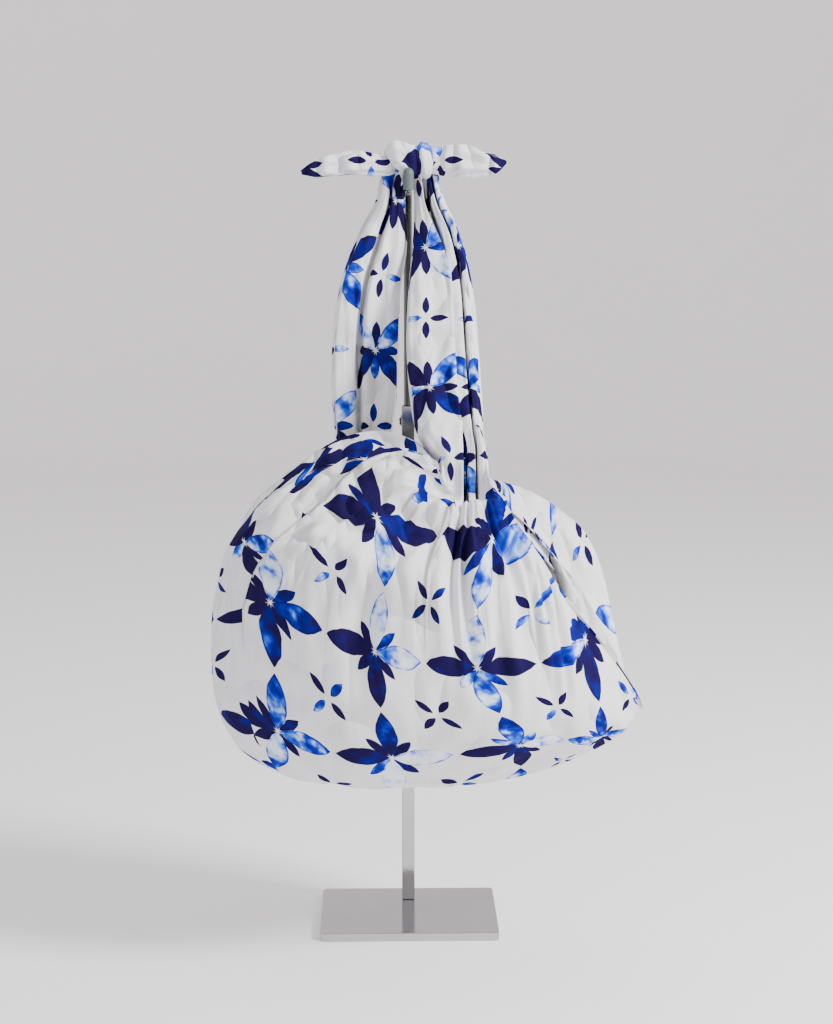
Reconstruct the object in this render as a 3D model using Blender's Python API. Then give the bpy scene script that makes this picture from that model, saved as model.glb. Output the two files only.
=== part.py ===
"""A square wrapping cloth tied as a bag, hanging by its knot on a plain display stand.

Metres, +Z up, front towards -Y. The origin is the middle of the base plate's underside.
"""
import math
from collections import namedtuple

import bmesh
import bpy
import numpy as np
from mathutils import Matrix, Vector

# ---------------------------------------------------------------- driving sizes
GAP = 0.0003                 # between neighbouring solids
PLATE_WIDTH = 0.165
PLATE_DEPTH = 0.120
PLATE_THICKNESS = 0.008
PLATE_CORNER = 0.004
PLATE_EDGE = 0.0008
POST_Y = 0.033               # the post stands behind the plate's middle
TUBE_SIDE = 0.012
TUBE_WALL = 0.0015
TUBE_TOP = 0.4845
ROD_RADIUS = 0.0038
ROD_INSERT = 0.060           # length of rod inside the tube
HOOK_SEAT = 0.6872           # top of the hook's floor, which carries the knot
HOOK_REACH = 0.037           # from the rod's axis to the prong's axis
HOOK_BEND = 0.010            # radius of the hook's two bends, at the rod's axis
PRONG_TOP = 0.6960
CAP_RADIUS = 0.0048
CAP_BOTTOM = 0.6815
CAP_TOP = 0.7012
SCREW_HEIGHT = 0.4690        # the thumb screw's axis
SCREW_RADIUS = 0.0022
KNOB_RADIUS = 0.0082
KNOB_THICKNESS = 0.0070
KNOB_LOBES = 12
CLOTH = 0.0010               # thickness of the cloth with its surface relief

FOLD_CELLS = 3               # mesh cells between two turns of a strap's folds
SIDE_CELLS = 18              # mesh cells of the rim between the two straps
BODY_ROWS = 13
STRAP_ROWS = 11

# The bag's surface, by direction on the cloth in degrees: "hem" is the rim of the cloth, "shoulder"
# the upper body and "belly" the widest part. The directions between each pair of strap limits close
# to a narrow gather instead of a hem. B and D are the two corners that are turned in.
STRAP_A = (240.0, 342.0)
STRAP_C = (64.0, 162.0)
Side = namedtuple("Side", "direction hem shoulder belly")
SIDES = [
    Side(23, (0.2060, -0.090, 0.2263), (0.2000, -0.090, 0.2200), (0.186, -0.088, 0.212)),
    Side(28, (0.1850, -0.073, 0.2720), (0.1950, -0.071, 0.2480), (0.189, -0.070, 0.224)),
    Side(34, (0.1290, -0.076, 0.3650), (0.1750, -0.048, 0.3420), (0.182, -0.050, 0.248)),
    Side(44, (0.0810, -0.068, 0.4150), (0.1460, -0.028, 0.3900), (0.166, -0.032, 0.254)),
    Side(54, (0.0320, -0.048, 0.4400), (0.1030, -0.010, 0.4050), (0.142, -0.015, 0.257)),
    Side(64, (-0.018, -0.030, 0.4480), (0.0700, 0.0020, 0.3860), (0.110, 0.0000, 0.260)),
    Side(85, (-0.028, -0.030, 0.4480), (0.0300, 0.0120, 0.3780), (0.060, 0.0130, 0.262)),
    Side(113, (-0.040, -0.030, 0.4480), (-0.020, 0.0160, 0.3760), (-0.010, 0.018, 0.262)),
    Side(140, (-0.052, -0.030, 0.4480), (-0.070, 0.0140, 0.3740), (-0.070, 0.014, 0.265)),
    Side(162, (-0.062, -0.030, 0.4480), (-0.107, 0.0060, 0.3700), (-0.115, 0.004, 0.266)),
    Side(174, (-0.085, -0.030, 0.4350), (-0.132, -0.004, 0.3650), (-0.137, -0.008, 0.268)),
    Side(186, (-0.120, -0.030, 0.3950), (-0.154, -0.018, 0.3400), (-0.157, -0.025, 0.270)),
    Side(196, (-0.150, -0.034, 0.3450), (-0.170, -0.036, 0.3150), (-0.171, -0.045, 0.270)),
    Side(203, (-0.174, -0.056, 0.3050), (-0.177, -0.062, 0.2900), (-0.177, -0.066, 0.268)),
    Side(209, (-0.143, -0.048, 0.3950), (-0.168, -0.060, 0.3450), (-0.178, -0.075, 0.275)),
    Side(216, (-0.088, -0.052, 0.4480), (-0.156, -0.070, 0.3750), (-0.177, -0.088, 0.278)),
    Side(226, (-0.028, -0.076, 0.4690), (-0.142, -0.090, 0.3880), (-0.171, -0.105, 0.280)),
    Side(236, (0.0120, -0.104, 0.4570), (-0.128, -0.115, 0.3860), (-0.154, -0.126, 0.280)),
    Side(244, (0.0260, -0.116, 0.4380), (-0.114, -0.138, 0.3750), (-0.130, -0.150, 0.278)),
    Side(255, (0.0300, -0.116, 0.4380), (-0.085, -0.158, 0.3700), (-0.096, -0.171, 0.274)),
    Side(270, (0.0370, -0.116, 0.4380), (-0.040, -0.173, 0.3650), (-0.045, -0.186, 0.268)),
    Side(300, (0.0480, -0.116, 0.4380), (0.0400, -0.179, 0.3600), (0.045, -0.190, 0.262)),
    Side(325, (0.0600, -0.116, 0.4380), (0.0950, -0.167, 0.3580), (0.107, -0.177, 0.255)),
    Side(342, (0.0670, -0.116, 0.4360), (0.1180, -0.152, 0.3500), (0.134, -0.163, 0.250)),
    Side(350, (0.0920, -0.128, 0.3910), (0.1300, -0.148, 0.3250), (0.146, -0.156, 0.237)),
    Side(360, (0.1330, -0.125, 0.3350), (0.1530, -0.138, 0.2850), (0.163, -0.145, 0.227)),
    Side(370, (0.1690, -0.112, 0.2880), (0.1790, -0.121, 0.2550), (0.182, -0.122, 0.220)),
    Side(378, (0.1950, -0.107, 0.2500), (0.1950, -0.108, 0.2320), (0.189, -0.105, 0.213)),
]
BOTTOM = (0.010, -0.085, 0.1590)
# The low ring lies between the bottom and the belly; it is boxier on the left than on the right.
LOW_REACH = (0.82, 0.62)     # share of the belly's reach from the bottom's middle, left and right
LOW_RISE = (0.20, 0.30)      # share of the belly's height above the bottom, left and right
LEVELS = (0.0, 0.30, 0.54, 0.78, 1.0)   # bottom, low ring, belly, shoulder and hem along the cloth

# The back-and-forth folds across each strap, from its first edge to its last: how far across
# they turn, and how deep, from -1 behind to 1 in front.
Turn = namedtuple("Turn", "across deep")
FOLDS_A = [
    Turn(0.00, -0.8), Turn(0.04, 0.6), Turn(0.20, 1.0), Turn(0.40, 0.8), Turn(0.60, 0.95),
    Turn(0.64, -0.9), Turn(0.68, 0.8), Turn(0.78, 0.7), Turn(0.81, -0.9), Turn(0.85, 0.7),
    Turn(0.90, 0.7), Turn(0.95, 0.2), Turn(1.00, -0.8),
]
FOLDS_C = [
    Turn(0.00, 0.8), Turn(0.03, -0.6), Turn(0.14, -1.0), Turn(0.32, -0.8), Turn(0.50, -1.0),
    Turn(0.54, 0.9), Turn(0.59, 0.1), Turn(0.64, 0.9), Turn(0.67, -0.8), Turn(0.80, -1.0),
    Turn(0.94, -0.8), Turn(0.97, 0.4), Turn(1.00, 0.9),
]
STRAP_CELLS = FOLD_CELLS * (len(FOLDS_A) - 1)
CLOSE_WIDTH = 0.027          # width of a strap where its folds are spaced evenly
OPEN_WIDTH = 0.056           # width of a strap where its folds lie as listed
EDGE_FREE = 0.20             # share of a strap in which its edges turn in

# Each strap by its sections from the gather up to the knot.
Section = namedtuple("Section", "centre width depth")
STRAP_A_SECTIONS = [
    Section((0.0465, -0.116, 0.438), 0.041, 0.020),
    Section((0.0450, -0.101, 0.457), 0.044, 0.021),
    Section((0.0345, -0.084, 0.485), 0.060, 0.024),
    Section((0.0300, -0.050, 0.540), 0.064, 0.026),
    Section((0.0290, -0.022, 0.590), 0.059, 0.025),
    Section((0.0265, -0.002, 0.635), 0.046, 0.023),
    Section((0.0200, 0.0080, 0.668), 0.029, 0.019),
    Section((0.0170, 0.0125, 0.686), 0.0240, 0.0120),
    Section((0.0150, 0.0160, 0.7035), 0.0225, 0.0070),
]
STRAP_C_SECTIONS = [
    Section((-0.0400, -0.030, 0.448), 0.044, 0.020),
    Section((-0.0405, -0.026, 0.468), 0.052, 0.022),
    Section((-0.0400, -0.018, 0.500), 0.058, 0.024),
    Section((-0.0390, -0.009, 0.540), 0.060, 0.025),
    Section((-0.0350, -0.002, 0.590), 0.055, 0.024),
    Section((-0.0240, 0.0030, 0.635), 0.046, 0.022),
    Section((-0.0168, 0.0070, 0.668), 0.028, 0.019),
    Section((-0.0145, 0.0110, 0.686), 0.0240, 0.0120),
    Section((-0.0102, 0.0160, 0.7035), 0.0220, 0.0070),
]
# The knot: bands of cloth by stations along each, and its two free ends, rolled into leaves. Depth
# is measured along Y, or along X on the band that wraps round the knot.
Station = namedtuple("Station", "centre height depth")
KNOT_CORE = [
    Station((-0.0200, 0.014, 0.7050), 0.010, 0.008),
    Station((-0.0120, 0.015, 0.7060), 0.026, 0.022),
    Station((0.0020, 0.016, 0.7060), 0.030, 0.027),
    Station((0.0140, 0.016, 0.7050), 0.028, 0.024),
    Station((0.0210, 0.015, 0.7040), 0.012, 0.009),
]
KNOT_FRONT = [
    Station((-0.0190, 0.013, 0.7150), 0.009, 0.006),
    Station((-0.0130, 0.004, 0.7145), 0.020, 0.009),
    Station((-0.0020, 0.0015, 0.7090), 0.024, 0.011),
    Station((0.0080, 0.004, 0.7000), 0.020, 0.010),
    Station((0.0120, 0.012, 0.6950), 0.010, 0.006),
]
KNOT_WRAP = [
    Station((0.0140, 0.0240, 0.7120), 0.009, 0.009),
    Station((0.0138, 0.0150, 0.7185), 0.011, 0.012),
    Station((0.0142, 0.0060, 0.7150), 0.012, 0.014),
    Station((0.0152, 0.0030, 0.7070), 0.012, 0.014),
    Station((0.0158, 0.0055, 0.6990), 0.011, 0.012),
    Station((0.0155, 0.0120, 0.6950), 0.009, 0.009),
]
LEFT_END = [
    Station((-0.0080, 0.012, 0.7045), 0.015, 0.012),
    Station((-0.0240, 0.009, 0.7020), 0.019, 0.014),
    Station((-0.0450, 0.005, 0.7050), 0.021, 0.015),
    Station((-0.0680, 0.002, 0.7025), 0.019, 0.014),
    Station((-0.0940, 0.000, 0.6965), 0.009, 0.008),
]
RIGHT_END = [
    Station((0.0120, 0.012, 0.7060), 0.015, 0.011),
    Station((0.0280, 0.009, 0.7080), 0.025, 0.015),
    Station((0.0460, 0.005, 0.7080), 0.031, 0.017),
    Station((0.0660, 0.002, 0.7050), 0.024, 0.014),
    Station((0.0850, 0.000, 0.7050), 0.008, 0.006),
]
BAND_SIDES = 10
ROUND_SIDES = 24             # sides of the stand's round pieces
BAND_STEPS = 8
LEAF_TURN = 300.0            # degrees that a rolled end goes round
LEAF_SIDES = 12
FORE_AND_AFT = (0.0, 1.0, 0.0)
SIDEWAYS = (1.0, 0.0, 0.0)

# ---------------------------------------------------------------- materials
def material(name, colour, roughness, metallic=0.0):
    mat = bpy.data.materials.new(name)
    mat.use_nodes = True
    shader = mat.node_tree.nodes["Principled BSDF"]
    shader.inputs["Base Color"].default_value = (*colour, 1.0)
    shader.inputs["Roughness"].default_value = roughness
    shader.inputs["Metallic"].default_value = metallic
    return mat


def add_object(name, mesh, mat):
    mesh.materials.append(mat)
    obj = bpy.data.objects.new(name, mesh)
    bpy.context.collection.objects.link(obj)
    return obj


# ---------------------------------------------------------------- smooth tables
def through(knots, values, where):
    """A smooth curve through values at knots, without overshoot, read at where."""
    knots = np.asarray(knots, float)
    values = np.asarray(values, float).reshape(len(knots), -1)
    step = np.diff(knots)[:, None]
    slope = np.diff(values, axis=0) / step
    tangent = np.zeros_like(values)
    tangent[0], tangent[-1] = slope[0], slope[-1]
    same_way = slope[:-1] * slope[1:] > 0
    mean = (slope[:-1] + slope[1:]) / 2
    limit = 3 * np.minimum(abs(slope[:-1]), abs(slope[1:]))
    tangent[1:-1] = np.where(same_way, np.sign(mean) * np.minimum(abs(mean), limit), mean * 0.35)
    where = np.asarray(where, float)
    i = np.clip(np.searchsorted(knots, where, side="right") - 1, 0, len(knots) - 2)
    h = np.diff(knots)[i][:, None]
    t = ((where - knots[i])[:, None]) / h
    return (
        values[i] * (1 + 2 * t) * (1 - t) ** 2
        + tangent[i] * h * t * (1 - t) ** 2
        + values[i + 1] * t * t * (3 - 2 * t)
        + tangent[i + 1] * h * t * t * (t - 1)
    )


def around(column, where):
    """One column of SIDES, smooth all the way round, read at directions in degrees."""
    lap = 360.0
    knots = [s.direction for s in SIDES]
    values = [getattr(s, column) for s in SIDES]
    knots = [k - lap for k in knots[-3:]] + knots + [k + lap for k in knots[:3]]
    values = values[-3:] + values + values[:3]
    first = SIDES[0].direction
    return through(knots, values, (np.asarray(where) - first) % lap + first)


def ease(x):
    x = np.clip(x, 0.0, 1.0)
    return x * x * (3 - 2 * x)


# ---------------------------------------------------------------- the cloth
def turns(folds, width=OPEN_WIDTH, edge=0.0):
    """Across and deep of each column of a strap, eased between the turns of its folds.

    The two edges of the cloth lie level with the body's wall at the gather, where edge is 0.
    """
    place = np.arange(STRAP_CELLS + 1) / FOLD_CELLS
    opened = np.clip((width - CLOSE_WIDTH) / (OPEN_WIDTH - CLOSE_WIDTH), 0.0, 1.0)
    knots = np.arange(len(folds))
    start = np.minimum(place.astype(int), len(folds) - 2)
    across = np.interp(place, knots, [f.across for f in folds])
    deep = np.array([f.deep for f in folds])
    deep[[0, -1]] *= edge
    deep = deep[start] + (deep[start + 1] - deep[start]) * ease(place - start)
    return opened * across + (1 - opened) * place / knots[-1], deep


# A strap's limits, folds and sections, its first column, and 1 where left to right is its order and
# front is outside, or -1 behind.
Strap = namedtuple("Strap", "limits folds sections first facing")


def straps():
    return (
        Strap(STRAP_A, FOLDS_A, STRAP_A_SECTIONS, 0, 1.0),
        Strap(STRAP_C, FOLDS_C, STRAP_C_SECTIONS, STRAP_CELLS + SIDE_CELLS, -1.0),
    )


def directions():
    """The direction of each column of the bag, finer across the two gathers."""
    parts = []
    strap_a, strap_c = straps()
    for strap, following in ((strap_a, strap_c), (strap_c, strap_a)):
        first, last = strap.limits
        parts.append(first + (last - first) * turns(strap.folds)[0][:-1])
        until = last + (following.limits[0] - last) % 360.0
        parts.append(np.linspace(last, until, SIDE_CELLS, endpoint=False))
    return np.concatenate(parts)


def strap_frame(sections, where):
    """Centre, across, deep, width and depth of a strap at the places where, from 0 to 1."""
    knots = np.linspace(0.0, 1.0, len(sections))
    centre = through(knots, [s.centre for s in sections], where)
    width = through(knots, [s.width for s in sections], where)
    depth = through(knots, [s.depth for s in sections], where)
    along = np.gradient(centre, axis=0)
    along /= np.linalg.norm(along, axis=1)[:, None]
    across = np.array([1.0, 0.0, 0.0]) - along * along[:, :1]
    across /= np.linalg.norm(across, axis=1)[:, None]
    deep = np.cross(across, along)
    return centre, across, deep, width, depth


def strap_rows(strap):
    """Rows of points across one strap, from its gather to inside the knot."""
    where = np.linspace(0.0, 1.0, STRAP_ROWS + 1)
    centre, across, deep, width, depth = strap_frame(strap.sections, where)
    free = ease(where / EDGE_FREE)
    laid = [turns(strap.folds, w, e) for w, e in zip(width[:, 0], free)]
    side = np.array([row[0] - 0.5 for row in laid]) * strap.facing
    fold = np.array([row[1] for row in laid]) * strap.facing / 2
    grid = centre[:, None] + across[:, None] * (width * side)[:, :, None]
    return grid + deep[:, None] * (depth * fold)[:, :, None]


def body_rows():
    """Rows of points from near the bottom's middle up to the hem."""
    direction = directions()
    hem, shoulder, belly = (around(c, direction) for c in ("hem", "shoulder", "belly"))
    bottom = np.array(BOTTOM)
    left, right = belly[:, 0].min(), belly[:, 0].max()
    reach = np.interp(belly[:, 0], (left, right), LOW_REACH)
    rise = np.interp(belly[:, 0], (left, right), LOW_RISE)
    low = bottom + (belly - bottom) * np.stack([reach, reach, rise], axis=1)
    rings = np.stack([np.broadcast_to(bottom, hem.shape), low, belly, shoulder, hem])
    rows = np.linspace(0.0, 1.0, BODY_ROWS + 1)[1:]
    grid = through(LEVELS, rings.reshape(len(LEVELS), -1), rows).reshape(len(rows), -1, 3)
    out = outward(grid)
    for strap in straps():
        columns = slice(strap.first, strap.first + STRAP_CELLS + 1)
        gather = strap_rows(strap)[0]
        middle = gather.mean(axis=0)
        fold = turns(strap.folds)[1]
        depth = strap.sections[0].depth
        drawn = ease((rows - 0.50) / 0.50)[:, None, None]
        dent = (drawn ** 2) * fold[:, None] * depth / 2
        lean = ease((rows - 0.78) / 0.22)[:, None, None]
        goal = grid[-1][columns] + 0.0
        grid[:, columns] += out[:, columns] * dent * (1 - lean)
        grid[:, columns] += (gather - goal) * lean
    return grid


def outward(grid):
    """The outward direction at each point of the bag."""
    along = np.gradient(grid, axis=0)
    sideways = np.roll(grid, -1, axis=1) - np.roll(grid, 1, axis=1)
    out = np.cross(sideways, along)
    return out / np.linalg.norm(out, axis=2)[:, :, None]


def add_rows(points, faces, below, rows):
    """Join rows of new points above the points below."""
    for row in rows:
        here = list(range(len(points), len(points) + len(row)))
        points += [tuple(p) for p in row]
        for c in range(len(row) - 1):
            faces.append((below[c], below[c + 1], here[c + 1], here[c]))
        below = here


def wrap_mesh():
    """Body and straps as one open sheet."""
    body = body_rows()
    columns = body.shape[1]
    points = [tuple(BOTTOM)] + [tuple(p) for row in body for p in row]
    faces = []

    def at(row, column):
        return 1 + row * columns + column % columns

    for c in range(columns):
        faces.append((0, at(0, c + 1), at(0, c)))
        for r in range(len(body) - 1):
            faces.append((at(r, c), at(r, c + 1), at(r + 1, c + 1), at(r + 1, c)))
    for strap in straps():
        below = [at(len(body) - 1, strap.first + c) for c in range(STRAP_CELLS + 1)]
        add_rows(points, faces, below, strap_rows(strap)[1:])
    mesh = bpy.data.meshes.new("wrap")
    mesh.from_pydata(points, [], faces)
    mesh.update()
    return mesh


def ring_rows(stations, steps, angles, depth_axis=FORE_AND_AFT):
    """Rings of points round a path of stations, each as high and deep as listed."""
    knots = np.linspace(0.0, 1.0, len(stations))
    where = np.linspace(0.0, 1.0, steps + 1)
    centre = through(knots, [s.centre for s in stations], where)
    height = through(knots, [s.height for s in stations], where) / 2
    depth = through(knots, [s.depth for s in stations], where) / 2
    along = np.gradient(centre, axis=0)
    along /= np.linalg.norm(along, axis=1)[:, None]
    back = np.array(depth_axis) - along * (along @ np.array(depth_axis))[:, None]
    back /= np.linalg.norm(back, axis=1)[:, None]
    up = np.cross(back, along)
    rows = centre[:, None] + up[:, None] * (height * np.cos(angles))[:, :, None]
    return rows + back[:, None] * (depth * np.sin(angles))[:, :, None]


def band_mesh(name, stations, depth_axis):
    """A closed band of the knot, round in section."""
    angles = np.linspace(0.0, 2 * math.pi, BAND_SIDES, endpoint=False)
    rows = ring_rows(stations, BAND_STEPS, angles, depth_axis)
    bm = bmesh.new()
    rings = [[bm.verts.new(p) for p in row] for row in rows]
    for low, high in zip(rings, rings[1:]):
        for k in range(BAND_SIDES):
            after = (k + 1) % BAND_SIDES
            bm.faces.new((low[k], low[after], high[after], high[k]))
    bm.faces.new(rings[0])
    bm.faces.new(list(reversed(rings[-1])))
    bmesh.ops.recalc_face_normals(bm, faces=bm.faces)
    mesh = bpy.data.meshes.new(name)
    bm.to_mesh(mesh)
    bm.free()
    return mesh


def leaf_mesh(name, stations):
    """A free end of the cloth: one sheet rolled round its own length, open below."""
    half = math.radians(LEAF_TURN) / 2
    angles = np.linspace(-half, half, LEAF_SIDES + 1)
    rows = ring_rows(stations, BAND_STEPS, angles)
    points, faces = [tuple(p) for p in rows[0]], []
    add_rows(points, faces, list(range(len(points))), rows[1:])
    mesh = bpy.data.meshes.new(name)
    mesh.from_pydata(points, [], faces)
    mesh.update()
    return mesh


def thicken(obj):
    """Give an open sheet the cloth's thickness."""
    thick = obj.modifiers.new("thickness", "SOLIDIFY")
    thick.thickness = CLOTH
    thick.offset = 0.0
    thick.use_even_offset = True
    thick.use_quality_normals = True


def applied(obj):
    """The object as a plain mesh, with its modifiers or its curve's bevel applied."""
    graph = bpy.context.evaluated_depsgraph_get()
    mesh = bpy.data.meshes.new_from_object(obj.evaluated_get(graph))
    if obj.type == "MESH":
        obj.modifiers.clear()
        obj.data = mesh
        return obj
    name = obj.name
    bpy.data.objects.remove(obj, do_unlink=True)
    plain = bpy.data.objects.new(name, mesh)
    bpy.context.collection.objects.link(plain)
    return plain


def combine(obj, other, operation):
    """Join the other solid to the object, or cut it away, and remove the other."""
    change = obj.modifiers.new(operation.lower(), "BOOLEAN")
    change.operation = operation
    change.solver = "EXACT"
    other = applied(other)
    change.object = other
    applied(obj)
    bpy.data.objects.remove(other, do_unlink=True)


def knot_band(name, stations, cloth, depth_axis=FORE_AND_AFT):
    return add_object(name, band_mesh(name, stations, depth_axis), cloth)


def free_end(name, stations, cloth):
    leaf = add_object(name, leaf_mesh(name, stations), cloth)
    thicken(leaf)
    return leaf


def furoshiki():
    cloth = material("cloth", (0.72, 0.76, 0.86), 0.85)
    wrap = add_object("furoshiki", wrap_mesh(), cloth)
    thicken(wrap)
    applied(wrap)
    combine(wrap, knot_band("core", KNOT_CORE, cloth), "UNION")
    combine(wrap, free_end("left_end", LEFT_END, cloth), "UNION")
    combine(wrap, free_end("right_end", RIGHT_END, cloth), "UNION")
    combine(wrap, knot_band("front", KNOT_FRONT, cloth), "UNION")
    combine(wrap, knot_band("round", KNOT_WRAP, cloth, SIDEWAYS), "UNION")
    combine(wrap, rod_object("rod_space", GAP, cloth), "DIFFERENCE")
    combine(wrap, add_object("cap_space", cap_mesh("cap_space", GAP), cloth), "DIFFERENCE")
    wrap.data.materials.clear()
    wrap.data.materials.append(cloth)


# ---------------------------------------------------------------- the stand
def box_mesh(name, size, centre, edge=0.0):
    bm = bmesh.new()
    bmesh.ops.create_cube(bm, size=1.0, matrix=Matrix.Translation(centre) @ Matrix.Diagonal((*size, 1)))
    if edge:
        bmesh.ops.bevel(bm, geom=bm.edges[:], offset=edge, segments=1, profile=0.5, affect="EDGES")
    mesh = bpy.data.meshes.new(name)
    bm.to_mesh(mesh)
    bm.free()
    return mesh


def cylinder_mesh(name, radius, height, matrix, sides=ROUND_SIDES):
    bm = bmesh.new()
    bmesh.ops.create_cone(bm, cap_ends=True, segments=sides, radius1=radius, radius2=radius,
                          depth=height, matrix=matrix)
    mesh = bpy.data.meshes.new(name)
    bm.to_mesh(mesh)
    bm.free()
    mesh.shade_smooth()
    mesh.set_sharp_from_angle(angle=math.radians(40))
    return mesh


def base_plate(metal):
    """A flat plate with rounded corners and a slightly broken top edge."""
    size = (PLATE_WIDTH, PLATE_DEPTH, PLATE_THICKNESS)
    bm = bmesh.new()
    middle = Matrix.Translation((0, 0, PLATE_THICKNESS / 2))
    bmesh.ops.create_cube(bm, size=1.0, matrix=middle @ Matrix.Diagonal((*size, 1)))
    upright = [e for e in bm.edges if abs(e.verts[0].co.z - e.verts[1].co.z) > PLATE_THICKNESS / 2]
    bmesh.ops.bevel(bm, geom=upright, offset=PLATE_CORNER, segments=4, profile=0.5, affect="EDGES")
    top = [e for e in bm.edges if all(v.co.z > PLATE_THICKNESS - GAP for v in e.verts)]
    bmesh.ops.bevel(bm, geom=top, offset=PLATE_EDGE, segments=2, profile=0.5, affect="EDGES")
    mesh = bpy.data.meshes.new("base_plate")
    bm.to_mesh(mesh)
    bm.free()
    return add_object("base_plate", mesh, metal)


def square_tube(name, side, wall, bottom, top, metal):
    """An upright square tube, open at both ends, on the post's axis."""
    middle = ((bottom + top) / 2)
    centre = Vector((0, POST_Y, middle))
    tube = add_object(name, box_mesh(name, (side, side, top - bottom), centre, edge=wall / 3), metal)
    bore = (side - 2 * wall, side - 2 * wall, (top - bottom) * 2)
    combine(tube, add_object("bore", box_mesh("bore", bore, centre), metal), "DIFFERENCE")
    return tube


def rod_path():
    """The rod's axis as (y, z): up the post, forward under the knot and up to the prong."""
    floor = HOOK_SEAT - ROD_RADIUS
    front = POST_Y - HOOK_REACH
    steps = 5
    bends = (
        (POST_Y - HOOK_BEND, floor - HOOK_BEND, 0.0, 90.0),
        (front + HOOK_BEND, floor + HOOK_BEND, -90.0, -180.0),
    )
    path = [(POST_Y, TUBE_TOP - ROD_INSERT)]
    for y, z, start, stop in bends:
        for turn in np.radians(np.linspace(start, stop, steps + 1)):
            path.append((y + HOOK_BEND * math.cos(turn), z + HOOK_BEND * math.sin(turn)))
    path.append((front, PRONG_TOP))
    return path


def rod_object(name, extra, mat):
    """The telescoping rod with its hook, or the space it needs when extra is more than 0."""
    curve = bpy.data.curves.new(name, "CURVE")
    curve.dimensions = "3D"
    curve.bevel_depth = ROD_RADIUS + extra
    curve.bevel_resolution = 4
    curve.use_fill_caps = True
    spline = curve.splines.new("POLY")
    path = rod_path()
    spline.points.add(len(path) - 1)
    for point, (y, z) in zip(spline.points, path):
        point.co = (0.0, y, z, 1.0)
    curve.materials.append(mat)
    obj = bpy.data.objects.new(name, curve)
    bpy.context.collection.objects.link(obj)
    return obj


def cap_mesh(name, extra):
    """The round-topped cap on the hook's prong."""
    radius = CAP_RADIUS + extra
    axis = Matrix.Translation((0, POST_Y - HOOK_REACH, 0))
    dome = CAP_TOP - CAP_RADIUS
    steps = 5
    profile = [(0.0, CAP_BOTTOM - extra), (radius, CAP_BOTTOM - extra)]
    for turn in np.linspace(0.0, math.pi / 2, steps + 1):
        profile.append((radius * math.cos(turn), dome + radius * math.sin(turn)))
    profile[-1] = (0.0, dome + radius)
    bm = bmesh.new()
    verts = [bm.verts.new((r, 0.0, z)) for r, z in profile]
    edges = [bm.edges.new(pair) for pair in zip(verts, verts[1:])]
    bmesh.ops.spin(bm, geom=verts + edges, cent=(0, 0, 0), axis=(0, 0, 1), angle=2 * math.pi,
                   steps=ROUND_SIDES, use_merge=True)
    bmesh.ops.remove_doubles(bm, verts=bm.verts[:], dist=GAP / 10)
    bmesh.ops.recalc_face_normals(bm, faces=bm.faces)
    bmesh.ops.transform(bm, matrix=axis, verts=bm.verts)
    mesh = bpy.data.meshes.new(name)
    bm.to_mesh(mesh)
    bm.free()
    return mesh


def hook_cap(rubber):
    """A rubber cap pushed over the hook's prong and down to its bend."""
    cap = add_object("hook_cap", cap_mesh("hook_cap", 0.0), rubber)
    combine(cap, rod_object("bore", GAP, rubber), "DIFFERENCE")
    return smooth(cap)


def thumb_screw(metal):
    """A thumb screw through the tube's rear wall, with a lobed round head."""
    tip = POST_Y + ROD_RADIUS + GAP
    head = POST_Y + TUBE_SIDE / 2 + SCREW_RADIUS
    bm = bmesh.new()
    rim = []
    for k in range(KNOB_LOBES * 4):
        turn = 2 * math.pi * k / (KNOB_LOBES * 4)
        radius = KNOB_RADIUS - (SCREW_RADIUS / 4 if k % 4 < 2 else 0.0)
        rim.append(bm.verts.new((radius * math.cos(turn), head, SCREW_HEIGHT + radius * math.sin(turn))))
    face = bm.faces.new(rim)
    grown = bmesh.ops.extrude_face_region(bm, geom=[face])["geom"]
    moved = [v for v in grown if isinstance(v, bmesh.types.BMVert)]
    bmesh.ops.translate(bm, verts=moved, vec=(0, KNOB_THICKNESS, 0))
    bmesh.ops.recalc_face_normals(bm, faces=bm.faces)
    mesh = bpy.data.meshes.new("thumb_screw")
    bm.to_mesh(mesh)
    bm.free()
    screw = add_object("thumb_screw", mesh, metal)
    combine(screw, add_object("stem", screw_stem(tip, head + KNOB_THICKNESS / 2, 0.0), metal), "UNION")
    return screw


def screw_stem(start, stop, extra):
    """The screw's stem from start to stop along Y, wider by extra."""
    turn = Matrix.Rotation(math.pi / 2, 4, "X")
    middle = Matrix.Translation((0, (start + stop) / 2, SCREW_HEIGHT))
    return cylinder_mesh("stem", SCREW_RADIUS + extra, stop - start, middle @ turn, sides=16)


def smooth(obj):
    obj.data.shade_smooth()
    obj.data.set_sharp_from_angle(angle=math.radians(40))
    return obj


def stand():
    chrome = material("chrome", (0.80, 0.80, 0.81), 0.12, 1.0)
    rubber = material("rubber", (0.30, 0.36, 0.36), 0.6)
    base_plate(chrome)
    tube = square_tube("post_tube", TUBE_SIDE, TUBE_WALL, PLATE_THICKNESS + GAP, TUBE_TOP, chrome)
    hole = screw_stem(POST_Y + ROD_RADIUS, POST_Y + TUBE_SIDE, GAP)
    combine(tube, add_object("hole", hole, chrome), "DIFFERENCE")
    smooth(applied(rod_object("inner_rod", 0.0, chrome)))
    hook_cap(rubber)
    thumb_screw(chrome)


def main():
    for obj in list(bpy.data.objects):
        bpy.data.objects.remove(obj, do_unlink=True)
    furoshiki()
    stand()


main()
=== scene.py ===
"""A furoshiki tied as a drop bag, hanging by its knot on a telescoping bag stand.

Metres, +Z up, front towards -Y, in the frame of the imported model. The cloth is one thin sheet with
the folds of its solid and finer ones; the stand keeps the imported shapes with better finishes.
"""
import math
from collections import namedtuple

import bpy
import numpy as np
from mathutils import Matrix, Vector, noise


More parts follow.
